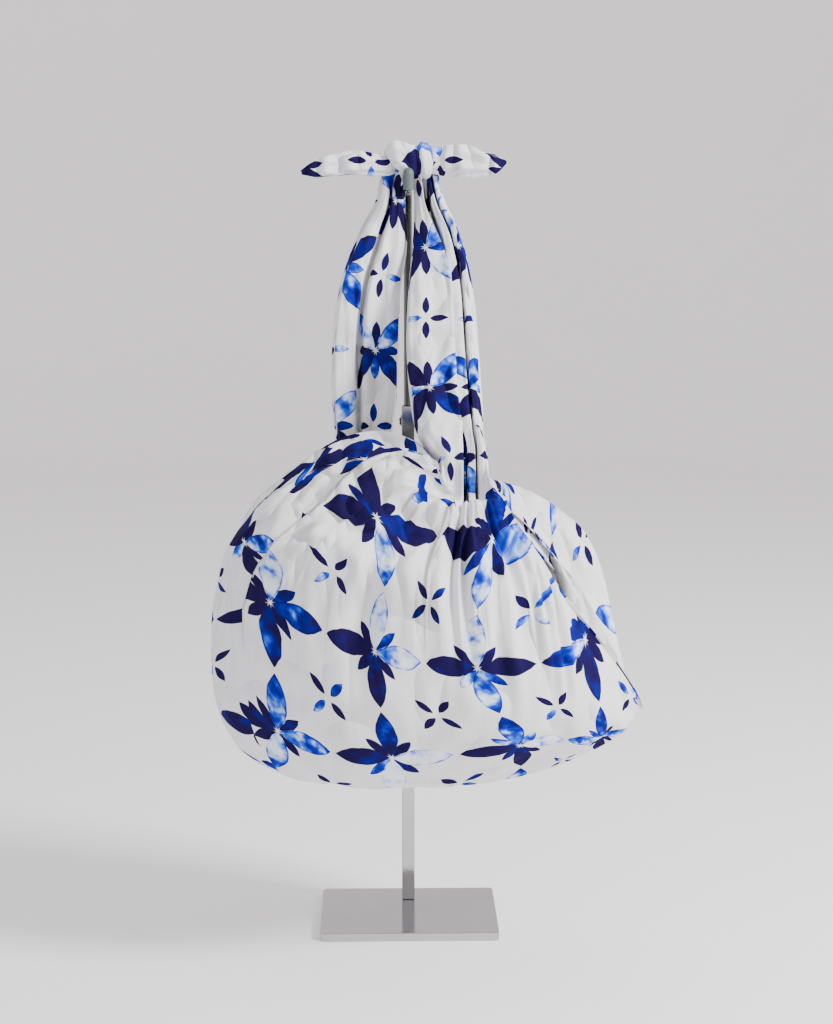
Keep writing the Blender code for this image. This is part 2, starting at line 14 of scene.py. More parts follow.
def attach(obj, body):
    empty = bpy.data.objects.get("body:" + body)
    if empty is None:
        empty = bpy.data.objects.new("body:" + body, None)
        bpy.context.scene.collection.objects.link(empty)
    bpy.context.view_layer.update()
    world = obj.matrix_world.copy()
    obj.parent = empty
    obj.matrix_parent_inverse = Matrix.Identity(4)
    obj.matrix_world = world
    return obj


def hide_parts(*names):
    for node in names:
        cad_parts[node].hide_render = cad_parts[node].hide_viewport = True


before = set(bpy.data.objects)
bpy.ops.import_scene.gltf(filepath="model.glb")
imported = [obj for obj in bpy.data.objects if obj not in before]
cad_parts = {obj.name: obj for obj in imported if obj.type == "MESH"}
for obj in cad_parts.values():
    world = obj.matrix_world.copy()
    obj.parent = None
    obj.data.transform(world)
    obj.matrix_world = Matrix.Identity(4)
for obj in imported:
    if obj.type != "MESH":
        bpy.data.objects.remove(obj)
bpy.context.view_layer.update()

# ---------------------------------------------------------------- the cloth's sizes
THICKNESS = 0.0006
PITCH = 0.0985  # from one printed flower to the next
STRAP_PITCH = 0.096  # the same on the straps, where the cloth is drawn up a little

# Its mesh, in cells across and rows along.
FOLD_CELLS = 6  # between two turns of a strap's folds
SIDE_CELLS = 54  # of the rim between the two straps
LAP_CELLS = 8  # of the fold between the shoulder and the front
LAP_STEP = 0.03  # degrees between them
FOLLOW = 0.7  # how closely the body's columns keep to those of the strap's folds
SMOOTH_ROWS = 44  # of the body up to where the gather draws it in
GATHER_ROWS = 20  # and from there up to the hem
GATHER_LEVEL = 0.84
STRAP_ROWS = 64
FLAP_ROWS = 40  # of the turned-in cloth on its way down
RETURN_ROWS = 26  # and on its way back up

# The bag's surface, by direction on the cloth in degrees: "hem" is the rim of the cloth, "shoulder"
# the upper body and "belly" the widest part. The directions between each pair of strap limits close
# to a narrow gather instead of a hem. B and D are the two corners that are turned in.
STRAP_A = (240.0, 342.0)
STRAP_C = (64.0, 162.0)
Side = namedtuple("Side", "direction hem shoulder belly")
SIDES = [Side(*row) for row in (
    (23, (0.206, -0.09, 0.2263), (0.2, -0.09, 0.22), (0.186, -0.088, 0.212)),
    (28, (0.185, -0.073, 0.272), (0.195, -0.071, 0.248), (0.189, -0.07, 0.224)),
    (34, (0.129, -0.076, 0.365), (0.175, -0.048, 0.342), (0.182, -0.05, 0.248)),
    (44, (0.081, -0.068, 0.415), (0.146, -0.028, 0.39), (0.166, -0.032, 0.254)),
    (54, (0.032, -0.048, 0.44), (0.103, -0.01, 0.405), (0.142, -0.015, 0.257)),
    (64, (-0.018, -0.03, 0.448), (0.07, 0.002, 0.386), (0.11, 0.0, 0.26)),
    (85, (-0.028, -0.03, 0.448), (0.03, 0.012, 0.378), (0.06, 0.013, 0.262)),
    (113, (-0.04, -0.03, 0.448), (-0.02, 0.016, 0.376), (-0.01, 0.018, 0.262)),
    (140, (-0.052, -0.03, 0.448), (-0.07, 0.014, 0.374), (-0.07, 0.014, 0.265)),
    (162, (-0.062, -0.03, 0.448), (-0.107, 0.006, 0.37), (-0.115, 0.004, 0.266)),
    (174, (-0.085, -0.03, 0.435), (-0.132, -0.004, 0.365), (-0.137, -0.008, 0.268)),
    (186, (-0.12, -0.03, 0.395), (-0.154, -0.018, 0.34), (-0.157, -0.025, 0.27)),
    (196, (-0.15, -0.034, 0.345), (-0.17, -0.036, 0.315), (-0.171, -0.045, 0.27)),
    (203, (-0.174, -0.056, 0.305), (-0.177, -0.062, 0.29), (-0.177, -0.066, 0.268)),
    (209, (-0.143, -0.048, 0.395), (-0.168, -0.06, 0.345), (-0.178, -0.075, 0.275)),
    (216, (-0.088, -0.052, 0.448), (-0.156, -0.07, 0.375), (-0.177, -0.088, 0.278)),
    (226, (-0.028, -0.076, 0.469), (-0.142, -0.09, 0.388), (-0.171, -0.105, 0.28)),
    (236, (0.012, -0.104, 0.457), (-0.128, -0.115, 0.386), (-0.154, -0.126, 0.28)),
    (244, (0.026, -0.116, 0.438), (-0.114, -0.138, 0.375), (-0.13, -0.15, 0.278)),
    (255, (0.03, -0.116, 0.438), (-0.085, -0.158, 0.37), (-0.096, -0.171, 0.274)),
    (270, (0.037, -0.116, 0.438), (-0.04, -0.173, 0.365), (-0.045, -0.186, 0.268)),
    (300, (0.048, -0.116, 0.438), (0.04, -0.179, 0.36), (0.045, -0.19, 0.262)),
    (325, (0.06, -0.116, 0.438), (0.095, -0.167, 0.358), (0.107, -0.177, 0.255)),
    (342, (0.067, -0.116, 0.436), (0.118, -0.152, 0.35), (0.134, -0.163, 0.25)),
    (350, (0.092, -0.128, 0.391), (0.13, -0.148, 0.325), (0.146, -0.156, 0.237)),
    (360, (0.133, -0.125, 0.335), (0.153, -0.138, 0.285), (0.163, -0.145, 0.227)),
    (370, (0.169, -0.112, 0.288), (0.179, -0.121, 0.255), (0.182, -0.122, 0.22)),
    (378, (0.195, -0.107, 0.25), (0.195, -0.108, 0.232), (0.189, -0.105, 0.213)),
)]
BOTTOM = (0.01, -0.085, 0.159)
# The low ring lies between the bottom and the belly; it is boxier on the left than on the right.
LOW_REACH = (0.82, 0.62)  # share of the belly's reach from the bottom's middle, left and right
LOW_RISE = (0.2, 0.3)  # share of the belly's height above the bottom, left and right
LEVELS = (0.0, 0.3, 0.54, 0.78, 1.0)  # bottom, low ring, belly, shoulder and hem along the cloth

# The back-and-forth folds across each strap, from its first edge to its last: how far across
# they turn, and how deep, from -1 behind to 1 in front.
Turn = namedtuple("Turn", "across deep")
FOLDS_A = [Turn(*row) for row in (
    (0.0, -0.8), (0.04, 0.6), (0.2, 1.0), (0.4, 0.8), (0.6, 0.95),
    (0.64, -0.9), (0.68, 0.8), (0.78, 0.7), (0.81, -0.45), (0.85, 0.7),
    (0.9, 0.7), (0.95, 0.2), (1.0, -0.8),
)]
FOLDS_C = [Turn(*row) for row in (
    (0.0, 0.8), (0.03, -0.6), (0.14, -1.0), (0.32, -0.8), (0.5, -1.0),
    (0.585, 0.45), (0.67, -0.8), (0.8, -1.0),
    (0.94, -0.8), (0.97, 0.4), (1.0, 0.9),
)]
VALLEY = -0.5  # a turn that is deeper is a valley
VALLEY_SIDES = -0.85  # and here are its two sides
TUCK_WIDTH = 0.01  # half the spread of the small tuck hidden in each valley
TUCK_DEPTH = 1.2  # how much deeper its two sides go than the valley
TUCK_HEIGHT = -0.8  # depth of its middle, which makes the valley's floor nearly flat
OVERLAP = 0.012  # how far the fold before a valley laps over it
UNDER = 0.7  # depth left to the fold after it, which starts underneath
CLOSE_WIDTH = 0.027  # width of a strap where its folds are spaced evenly
OPEN_WIDTH = 0.056  # width of a strap where its folds lie as listed
EDGE_FREE = 0.2  # share of a strap in which its edges turn in
STRAP_DRIFT = 0.006  # how far a strap's folds wander, as a share of its width
DRIFT_TURNS = 9.0  # how often, and how much later from one fold to the next
DRIFT_LAG = 0.7

# Each strap by its sections from the gather up to the knot.
Section = namedtuple("Section", "centre width depth")
STRAP_A_SECTIONS = [Section(*row) for row in (
    ((0.0465, -0.116, 0.438), 0.041, 0.02),
    ((0.045, -0.101, 0.457), 0.044, 0.021),
    ((0.0345, -0.084, 0.485), 0.06, 0.024),
    ((0.03, -0.05, 0.54), 0.064, 0.026),
    ((0.029, -0.022, 0.59), 0.059, 0.025),
    ((0.0265, -0.002, 0.635), 0.046, 0.023),
    ((0.02, 0.008, 0.668), 0.029, 0.019),
    ((0.017, 0.0125, 0.686), 0.024, 0.012),
    ((0.015, 0.016, 0.7035), 0.0225, 0.007),
)]
STRAP_C_SECTIONS = [Section(*row) for row in (
    ((-0.04, -0.03, 0.448), 0.044, 0.02),
    ((-0.0405, -0.026, 0.468), 0.052, 0.022),
    ((-0.04, -0.018, 0.5), 0.058, 0.024),
    ((-0.039, -0.009, 0.54), 0.06, 0.025),
    ((-0.035, -0.002, 0.59), 0.055, 0.024),
    ((-0.024, 0.003, 0.635), 0.046, 0.022),
    ((-0.0168, 0.007, 0.668), 0.028, 0.019),
    ((-0.0145, 0.011, 0.686), 0.024, 0.012),
    ((-0.0102, 0.016, 0.7035), 0.022, 0.007),
)]

# The knot: bands of cloth by stations along each, and its two free ends, rolled into leaves. Depth
# is measured along Y, or along X on the band that wraps round the knot.
Station = namedtuple("Station", "centre height depth")
KNOT_CORE = [Station(*row) for row in (
    ((-0.02, 0.014, 0.705), 0.01, 0.008),
    ((-0.012, 0.015, 0.706), 0.026, 0.022),
    ((0.002, 0.016, 0.706), 0.03, 0.027),
    ((0.014, 0.016, 0.705), 0.028, 0.024),
    ((0.021, 0.015, 0.704), 0.012, 0.009),
)]
KNOT_FRONT = [Station(*row) for row in (
    ((-0.019, 0.013, 0.715), 0.009, 0.006),
    ((-0.013, 0.004, 0.7145), 0.02, 0.009),
    ((-0.002, 0.0015, 0.709), 0.024, 0.011),
    ((0.008, 0.004, 0.7), 0.02, 0.01),
    ((0.012, 0.012, 0.695), 0.01, 0.006),
)]
KNOT_WRAP = [Station(*row) for row in (
    ((0.014, 0.024, 0.712), 0.009, 0.009),
    ((0.0138, 0.015, 0.7185), 0.011, 0.012),
    ((0.0142, 0.006, 0.715), 0.012, 0.014),
    ((0.0152, 0.003, 0.707), 0.012, 0.014),
    ((0.0158, 0.0055, 0.699), 0.011, 0.012),
    ((0.0155, 0.012, 0.695), 0.009, 0.009),
)]
LEFT_END = [Station(*row) for row in (
    ((-0.008, 0.012, 0.7045), 0.015, 0.012),
    ((-0.024, 0.009, 0.702), 0.019, 0.014),
    ((-0.045, 0.005, 0.705), 0.021, 0.015),
    ((-0.068, 0.002, 0.7025), 0.019, 0.014),
    ((-0.085, 0.001, 0.6985), 0.013, 0.01),
    ((-0.0955, 0.0, 0.6965), 0.004, 0.004),
)]
RIGHT_END = [Station(*row) for row in (
    ((0.012, 0.012, 0.706), 0.015, 0.011),
    ((0.028, 0.009, 0.708), 0.025, 0.015),
    ((0.046, 0.005, 0.708), 0.031, 0.017),
    ((0.066, 0.002, 0.705), 0.024, 0.014),
    ((0.077, 0.001, 0.7045), 0.017, 0.01),
    ((0.087, 0.0, 0.7055), 0.002, 0.002),
)]
BAND_SIDES = 40
BAND_STEPS = 30
BAND_PLEATS = 0.07  # height of the lengthwise folds, as a share of the band's
LEAF_TURN = 300.0  # degrees that a rolled end goes round
LEAF_SIDES = 60
LEAF_STEPS = 60
LEAF_PLEATS = 0.08
# The lengthwise folds in two sets: share of their height, count, and winding round the path.
PLEAT_SETS = ((1.0, 7, 3.0), (0.6, 4, -5.0))
FORE_AND_AFT = (0.0, 1.0, 0.0)
SIDEWAYS = (1.0, 0.0, 0.0)

# Levels run from 0 at the bottom's middle to 1 at the hem. Each pair is where something starts to
# grow and where it is whole.
FOLDS_GROW = (0.5, 1.0)  # the strap's folds in the body below it
FOLDS_POWER = 1.5
DRAWN_IN = (0.78, 1.0)  # the wall, towards the gather
HEM_EASE = (1.0, 0.95)  # wrinkles, down from the hem

# The lip: the body's edge rolls over in front of strap A, which rises from behind it.
LIP_GROW = (0.78, 0.9)
LIP_EDGE = (1.0, 0.96)
LIP_REACH = 0.14  # share of strap A in which it comes up from behind the lip
LIP_SINK = (0.0, 0.008, -0.022)
LIP_SWELL = (0.0, -0.01, 0.014)
LIP_LEVEL = 0.95
LIP_WIDTH = 0.028
SWELL_EDGE = (1.0, 0.98)
LIP_FOLD = 0.75  # how far out the lip lies, as a share of the folds' depth
LIP_CELLS = 14  # cells in which the lip grows from the strap's edge

# The rear's hem leans to the front hem, between these shares of the way from corner D to strap C.
REAR_HEM = (-0.013, -0.012, -0.004)
REAR_GROW = (0.72, 1.0)
REAR_START = (0.1, 0.35)
REAR_STOP = (0.98, 0.78)

# The lap: where the front panel's edge folds over the shoulder. Its cells run from the shoulder,
# under the edge and back over it.
LAP_GROW = (0.56, 0.76)
LAP_STOP = (1.0, 0.93)
LAP_SIDE = (0.008, -0.016)  # sideways shift of the shoulder and of the edge, towards the front
LAP_LIFT = (-0.003, 0.006)  # the same outwards
LAP_FADE = (14, 22)  # cells in which the shifts die out, on the shoulder and on the front
# The lap's way from where a straight one would run: level, and sideways shift.
LAP_TRACK = [
    (0.6, 0.0), (0.65, 0.004), (0.706, 0.016), (0.764, 0.025), (0.821, 0.02), (0.856, 0.01),
    (0.88, 0.003), (0.904, -0.009), (0.928, -0.016), (0.952, -0.02), (0.976, -0.022), (1.0, -0.012),
]
TRACK_FADE = 26  # cells in which that shift dies out on each side

# Wrinkles by height, size along X, Y and Z, seed, and for sharp ones how high their tops are.
Wrinkles = namedtuple("Wrinkles", "height size seed crest", defaults=(0.0,))
BROAD = Wrinkles(0.0034, (0.045, 0.045, 0.06), 11.3)
FINE = Wrinkles(0.0012, (0.014, 0.014, 0.02), 5.1)
STRAP_SOFT = Wrinkles(0.0018, (0.016, 0.016, 0.06), 3.7)
STRAP_SHARP = Wrinkles(0.0013, (0.011, 0.02, 0.11), 8.4, 0.4)
LEAF_SOFT = Wrinkles(0.0013, (0.014, 0.008, 0.008), 2.2)
# Folds that run down from the gather, by degrees round the bag and levels.
GATHER_FOLDS = Wrinkles(0.014, (6.5, 1 / 1.2, 1.0), 7.9, 0.45)
GATHER_SIDES = (12.0, 16.0)  # degrees in which they grow from the first and the last
GATHER_GROW = (0.48, 0.78)
GATHER_POWER = 1.3
GATHER_CALM = 0.5  # share of the body's wrinkles that the gather pulls flat

# Soft folds of the body's front, as their points in X and Z, with height and half width. A lap
# stands up on one side, the right of its way, and drops at once on the other.
Crease = namedtuple("Crease", "points height width lap")
CREASES = [Crease(*row) for row in (
    ([(0.023, 0.421), (0.014, 0.408), (0.004, 0.393), (-0.006, 0.354)], -0.0045, 0.005, False),
    ([(0.029, 0.428), (0.027, 0.402), (0.025, 0.378), (0.024, 0.35)], 0.0045, 0.006, False),
    ([(0.032, 0.427), (0.0435, 0.416), (0.057, 0.39), (0.061, 0.375), (0.068, 0.359),
            (0.0725, 0.336), (0.0725, 0.295)], 0.005, 0.012, True),
    ([(0.06, 0.415), (0.083, 0.385), (0.104, 0.35), (0.118, 0.31)], -0.005, 0.007, False),
    ([(0.0, 0.428), (-0.03, 0.4), (-0.055, 0.36), (-0.07, 0.31)], 0.0045, 0.01, False),
)]
CREASE_STEP = 0.0015  # width in which a lap drops
CREASE_START = 0.3  # share of its height that a crease starts with, and how fast it grows
CREASE_GROWTH = 6.0
CREASE_FACING = (0.05, 0.35)  # how far the cloth faces the front

# The cloth turned in at corners B and D.
FLAP_ROLL = 0.0016  # radius at which the hem turns in
FLAP_TURNS = (45.0, 90.0, 135.0)
FLAP_GAP = 0.0155  # between the wall and the middle of the turned-in cloth's waves
FLAP_WAVE = 0.0087
WAVE_CELLS = 5.0
WAVE_LEAN = 2.0  # how far the waves lean over on the way down, in radians
WAVE_GROWTH = 3.5  # and how fast they grow
FLAP_DEPTH = 0.84  # how far down it reaches, as a share of the way along the cloth
SHORT_DEPTH = 0.1
CORNER_CELLS = 9  # cells beside a tucked corner in which the flap shrinks to nothing
TAPER_CELLS = 4.0  # cells beside a strap in which it does
RETURN_SHARE = 0.96
RETURN_GAP = -0.0065  # from the turned-in cloth to where it comes back up
RETURN_TURN = (0.97, 1.03)  # where it turns back, the way down being 1
# Where one half of a side crosses over behind the other.
CROSS_GAP = 0.015
CROSS_WAVE = 0.7  # height of the waves there, as a share of the others'
CROSS_CROWN = 0.006  # how far it stands up on its way over
CROSS_CELLS = 8
CROSS_SHARE = 0.25  # of its way down in which it crosses
CROSS_DROP = 0.06

# Where printed flowers lie: place on the body, and the flower's column and row in the print.
Flower = namedtuple("Flower", "place cell")
FRONT_PRINT = [Flower(*row) for row in (
    ((-0.118, -0.152, 0.338), (0, 1)),
    ((0.004, -0.119, 0.428), (1.35, -0.55)),
    ((0.03, -0.116, 0.418), (1.55, -0.28)),
    ((-0.024, -0.143, 0.399), (1, 0)),
    ((0.068, -0.152, 0.391), (2, 0)),
    ((-0.031, -0.188, 0.303), (1, 1)),
    ((0.054, -0.19, 0.289), (2, 1)),
    ((0.151, -0.131, 0.299), (3, 1)),
    ((0.193, -0.11, 0.24), (3.5, 1.55)),
    ((-0.114, -0.153, 0.226), (0, 2)),
    ((-0.017, -0.175, 0.208), (1, 2)),
    ((0.092, -0.167, 0.216), (2, 2)),
    ((0.01, -0.085, 0.159), (1.35, 2.75)),
    ((-0.1, -0.085, 0.175), (0.25, 2.75)),
    ((0.13, -0.085, 0.19), (2.55, 2.75)),
)]
REAR_PRINT = [Flower(*row) for row in (
    ((-0.118, -0.152, 0.338), (0, 1)),
    ((-0.149, -0.087, 0.381), (0, 0)),
    ((-0.068, -0.12, 0.413), (1, 0)),
    ((-0.114, -0.153, 0.226), (0, 2)),
    ((-0.177, -0.07, 0.27), (-0.8, 1.5)),
    ((-0.1, -0.085, 0.175), (-1.2, 2.6)),
    ((0.01, -0.085, 0.159), (-2.55, 2.8)),
    ((0.13, -0.085, 0.19), (-3.8, 2.6)),
    ((-0.12, 0.004, 0.26), (-1.6, 1.55)),
    ((-0.01, 0.018, 0.26), (-2.6, 1.6)),
    ((0.11, 0.0, 0.26), (-3.7, 1.6)),
    ((0.19, -0.072, 0.23), (-4.65, 1.7)),
    ((-0.11, 0.006, 0.36), (-1.3, 0.6)),
    ((-0.02, 0.016, 0.37), (-2.2, 0.6)),
    ((0.07, 0.002, 0.38), (-3.1, 0.6)),
    ((0.139, -0.072, 0.358), (-4.1, 0.7)),
)]
HIDDEN = 0.03  # cloth that a valley takes up beyond what is modelled
StrapFlower = namedtuple("StrapFlower", "across height")
STRAP_FLOWERS = {1.0: StrapFlower(0.27, 0.5124), -1.0: StrapFlower(0.36, 0.672)}  # by facing
FLAP_PRINT = 0.4  # shift of the print on the turned-in cloth
WARP_SOFT = 0.7  # how softly the print bends round a flower, in flowers
TURNING = 0.35  # share of its mean slope that a curve keeps where its values turn
BOTH_SIDES = 2  # first of the two slots for cloth whose printed side shows on both

# Petals and leaves of the print, as shares of the pitch: distance of the middle from the flower's
# centre, half length and half width.
Petal = namedtuple("Petal", "middle reach width")
BIG_PETAL = Petal(0.245, 0.238, 0.098)
SMALL_PETAL = Petal(0.145, 0.13, 0.046)
LOOSE_LEAF = Petal(0.58, 0.092, 0.036)
INNER_POINT = 1.85  # power of the petal's curve towards the flower's centre
OUTER_POINT = 2.4  # and towards its blunt end
PRINT_WOBBLE = 0.02
# Noise by its scale, and if not as usual its detail and roughness.
WOBBLE_NOISE = (9.0, 1.0)
POOL_NOISE = 6.5
GRAIN_NOISE = (45.0, 3.0, 0.7)
OUTLINE = (0.02, 0.26)  # from the edge of a petal to where its darker rim ends
INK_EDGE = 0.07  # width of the soft edge, as a share of the petal's
# How much each adds to the depth of ink.
LOT_INK = 1.3
POOL_INK = 1.5
TIP_INK = 0.2
GRAIN_INK = 0.15
SMALL_INK = 0.22
OUTLINE_INK = 0.2
INK_RANGE = (0.8, 1.85)  # depths at the two ends of the ramp
INK = (
    (0.0, (0.8, 0.84, 0.94)),
    (0.14, (0.36, 0.5, 0.88)),
    (0.27, (0.035, 0.13, 0.7)),
    (0.44, (0.004, 0.024, 0.43)),
    (0.62, (0.004, 0.008, 0.21)),
    (1.0, (0.01, 0.005, 0.05)),
)
UNDERSIDE_INK = 0.3  # how much of it shows through
PRINTED_TONES = ((0.73, 0.74, 0.785), (0.78, 0.778, 0.795))  # of the bare cotton
UNDERSIDE_TONES = ((0.68, 0.68, 0.7), (0.74, 0.73, 0.73))
THREADS = ((260.0, 34.0, 1.0), (34.0, 260.0, 1.0))
PULLS = (38.0, 38.0, 7.0)  # creases that the cloth's weight draws down from the gather
PULLS_GROW = (0.22, 0.5)  # heights between which they grow

# ---------------------------------------------------------------- the studio's sizes
IMAGE_HEIGHT = 1024  # of the picture
FOCAL_PIXELS = 2000.0
CAMERA_PLACE = (-0.0278, -1.81, 0.6854)
CAMERA_YAW = 1.11  # degrees towards +X from +Y
CAMERA_PITCH = 9.27  # degrees down
SENSOR = 36.0
FLOOR_REACH = 3.0  # radius of its flat part
RIM_BEND = 1.4  # radius at which it curves up
RIM_HEIGHT = 3.4
RIM_STEPS = 12
FLOOR_SIDES = 64
LIT_PLACE = (0.0, -0.05, 0.35)
Lamp = namedtuple("Lamp", "place size power colour")
LAMPS = {
    "key": Lamp((1.6, -0.85, 1.6), (0.5, 0.5), 88.0, (1.0, 0.98, 0.96)),
    "fill": Lamp((-1.6, -1.2, 1.2), (1.2, 1.2), 5.0, (0.95, 0.97, 1.0)),
    "top": Lamp((0.0, 0.2, 2.2), (1.8, 1.2), 12.0, (1.0, 1.0, 1.0)),
}
ROOM_COLOUR = (0.97, 0.965, 0.98, 1.0)
ROOM_LIGHT = 0.9


# ---------------------------------------------------------------- smooth curves
def through(knots, values, where):
    """A smooth curve through values at knots, with little overshoot, read at where."""
    knots = np.asarray(knots, float)
    values = np.asarray(values, float).reshape(len(knots), -1)
    step = np.diff(knots)[:, None]
    slope = np.diff(values, axis=0) / step
    tangent = np.zeros_like(values)
    tangent[0], tangent[-1] = slope[0], slope[-1]
    same_way = slope[:-1] * slope[1:] > 0
    mean = (slope[:-1] + slope[1:]) / 2
    limit = 3 * np.minimum(abs(slope[:-1]), abs(slope[1:]))
    held = np.sign(mean) * np.minimum(abs(mean), limit)
    tangent[1:-1] = np.where(same_way, held, mean * TURNING)
    where = np.asarray(where, float)
    i = np.clip(np.searchsorted(knots, where, side="right") - 1, 0, len(knots) - 2)
    h = np.diff(knots)[i][:, None]
    t = ((where - knots[i])[:, None]) / h
    return (
        values[i] * (1 + 2 * t) * (1 - t) ** 2
        + tangent[i] * h * t * (1 - t) ** 2
        + values[i + 1] * t * t * (3 - 2 * t)
        + tangent[i + 1] * h * t * t * (t - 1)
    )


def around(column, where):
    """One column of SIDES, smooth all the way round, read at directions in degrees."""
    lap = 360.0
    knots = [s.direction for s in SIDES]
    values = [getattr(s, column) for s in SIDES]
    knots = [k - lap for k in knots[-3:]] + knots + [k + lap for k in knots[:3]]
    values = values[-3:] + values + values[:3]
    first = SIDES[0].direction
    return through(knots, values, (np.asarray(where) - first) % lap + first)


def ease(x):
    x = np.clip(x, 0.0, 1.0)
    return x * x * (3 - 2 * x)


def grow(value, span):
    """0 up to the span's first value and 1 from its last, with soft ends."""
    start, stop = span
    return ease((value - start) / (stop - start))


def between(pair, share):
    return pair[0] + (pair[1] - pair[0]) * share


def unit(vectors):
    return vectors / np.linalg.norm(vectors, axis=-1)[..., None]


def path(sections, steps):
    """Even steps through sections: place from 0 to 1, centre, way, and the sections' two sizes."""
    knots, where = np.linspace(0.0, 1.0, len(sections)), np.linspace(0.0, 1.0, steps + 1)
    centre, first, second = (through(knots, column, where) for column in zip(*sections))
    return where, centre, unit(np.gradient(centre, axis=0)), first, second


def outward(grid):
    """The outward direction at each point of the bag."""
    along = np.gradient(grid, axis=0)
    sideways = np.roll(grid, -LAP_CELLS, axis=1) - np.roll(grid, LAP_CELLS, axis=1)
    return unit(np.cross(sideways, along))


def wrinkle(points, kind):
    """Smooth noise from -1 to 1 at each point, in wrinkles of the kind's size."""
    where = points.reshape(-1, 3) / np.array(kind.size) + kind.seed
    values = [noise.noise(Vector(p)) for p in where]
    return np.array(values).reshape(points.shape[:-1])


def sharp(points, kind):
    """The same in folds with sharp tops."""
    return kind.crest - 2.0 * abs(wrinkle(points, kind))


def warp(flowers, places):
    """The print's column and row at each place, smooth through the flowers' own."""
    knots = np.array([f.place for f in flowers]) / PITCH
    cells = np.array([f.cell for f in flowers])
    count = len(knots)

    def spread(where):
        return np.sqrt(((where[:, None] - knots[None]) ** 2).sum(axis=2) + WARP_SOFT ** 2)

    system = np.zeros((count + 4, count + 4))
    system[:count, :count] = spread(knots)
    system[:count, count] = 1.0
    system[:count, count + 1:] = knots
    system[count:, :count] = system[:count, count:].T
    weights = np.linalg.lstsq(system, np.vstack([cells, np.zeros((4, 2))]), rcond=None)[0]
    flat = places.reshape(-1, 3) / PITCH
    value = spread(flat) @ weights[:count] + weights[count] + flat @ weights[count + 1:]
    return value.reshape(*places.shape[:-1], 2)


# ---------------------------------------------------------------- the straps
def tucked(folds, facing):
    """The folds with a small tuck hidden in each valley, which a fold in front laps over."""
    valley = [turn.deep * facing < VALLEY for turn in folds]
    valley[0] = valley[-1] = False
    result = [folds[0]]
    for k in range(1, len(folds) - 1):
        turn = folds[k]
        if valley[k]:
            middle, side = TUCK_HEIGHT * facing, turn.deep * TUCK_DEPTH
            for shift, deep in ((-TUCK_WIDTH, side), (0.0, middle), (TUCK_WIDTH, side)):
                result.append(Turn(turn.across + shift, deep))
        elif facing < 0 or valley[k - 1] == valley[k + 1]:
            result.append(turn)
        elif valley[k + 1]:
            result.append(Turn(folds[k + 1].across + OVERLAP, turn.deep))
        else:
            result.append(Turn(folds[k - 1].across + OVERLAP / 4, turn.deep * UNDER))
    return result + [folds[-1]]


def turns(folds, width=OPEN_WIDTH, edge=0.0, drift=0.0, phase=0.0):
    """Across and deep of each column of a strap, eased between the turns of its folds.

    The two edges of the cloth lie level with the body's wall at the gather, where edge is 0.
    """
    cells = FOLD_CELLS * (len(folds) - 1)
    place = np.arange(cells + 1) / FOLD_CELLS
    opened = np.clip((width - CLOSE_WIDTH) / (OPEN_WIDTH - CLOSE_WIDTH), 0.0, 1.0)
    knots = np.arange(len(folds))
    start = np.minimum(place.astype(int), len(folds) - 2)
    across = np.array([f.across for f in folds])
    across[1:-1] += drift * np.sin(knots[1:-1] * DRIFT_LAG + phase)
    across = np.interp(place, knots, across)
    deep = np.array([f.deep for f in folds])
    deep[[0, -1]] *= edge
    deep = between((deep[start], deep[start + 1]), ease(place - start))
    return opened * across + (1 - opened) * place / knots[-1], deep


# A strap's limits, folds and sections, its first column and how many follow, and 1 where left to
# right is its order and front is outside, or -1 behind.
Strap = namedtuple("Strap", "limits folds sections first cells facing")


def straps():
    folds_a, folds_c = tucked(FOLDS_A, 1.0), tucked(FOLDS_C, -1.0)
    cells_a, cells_c = (FOLD_CELLS * (len(folds) - 1) for folds in (folds_a, folds_c))
    return (
        Strap(STRAP_A, folds_a, STRAP_A_SECTIONS, 0, cells_a, 1.0),
        Strap(STRAP_C, folds_c, STRAP_C_SECTIONS, cells_a + SIDE_CELLS, cells_c, -1.0),
    )


def strap_frame(strap):
    """Place on a strap from 0 to 1, with its centre, across, deep, width and depth there."""
    where, centre, along, width, depth = path(strap.sections, STRAP_ROWS)
    across = unit(np.array(SIDEWAYS) - along * along[:, :1])
    return where, centre, across, np.cross(across, along), width, depth


def inside(strap):
    """1 over a strap's columns, easing to 0 at its two edges."""
    column = np.arange(strap.cells + 1)
    return ease(column / LIP_CELLS) * ease((strap.cells - column) / LIP_CELLS)


def strap_rows(strap):
    """Rows of points across one strap, from its gather to inside the knot."""
    where, centre, across, deep, width, depth = strap_frame(strap)
    free = ease(where / EDGE_FREE)
    laid = [
        turns(strap.folds, w, e, STRAP_DRIFT * e, DRIFT_TURNS * at)
        for w, e, at in zip(width[:, 0], free, where)
    ]
    side = np.array([row[0] - 0.5 for row in laid]) * strap.facing
    fold = np.array([row[1] for row in laid]) * strap.facing / 2
    grid = centre[:, None] + across[:, None] * (width * side)[:, :, None]
    grid = grid + deep[:, None] * (depth * fold)[:, :, None]
    loose = ease(where / EDGE_FREE) * ease((1 - where) / EDGE_FREE)
    soft = STRAP_SOFT.height * wrinkle(grid, STRAP_SOFT)
    creased = STRAP_SHARP.height * sharp(grid, STRAP_SHARP)
    ripple = (soft + creased) * loose[:, None]
    grid = grid + deep[:, None] * ripple[:, :, None] * strap.facing
    if strap.facing > 0:
        sunk = 1 - ease(where / LIP_REACH)
        grid = grid + np.outer(sunk, inside(strap))[:, :, None] * LIP_SINK
    return grid


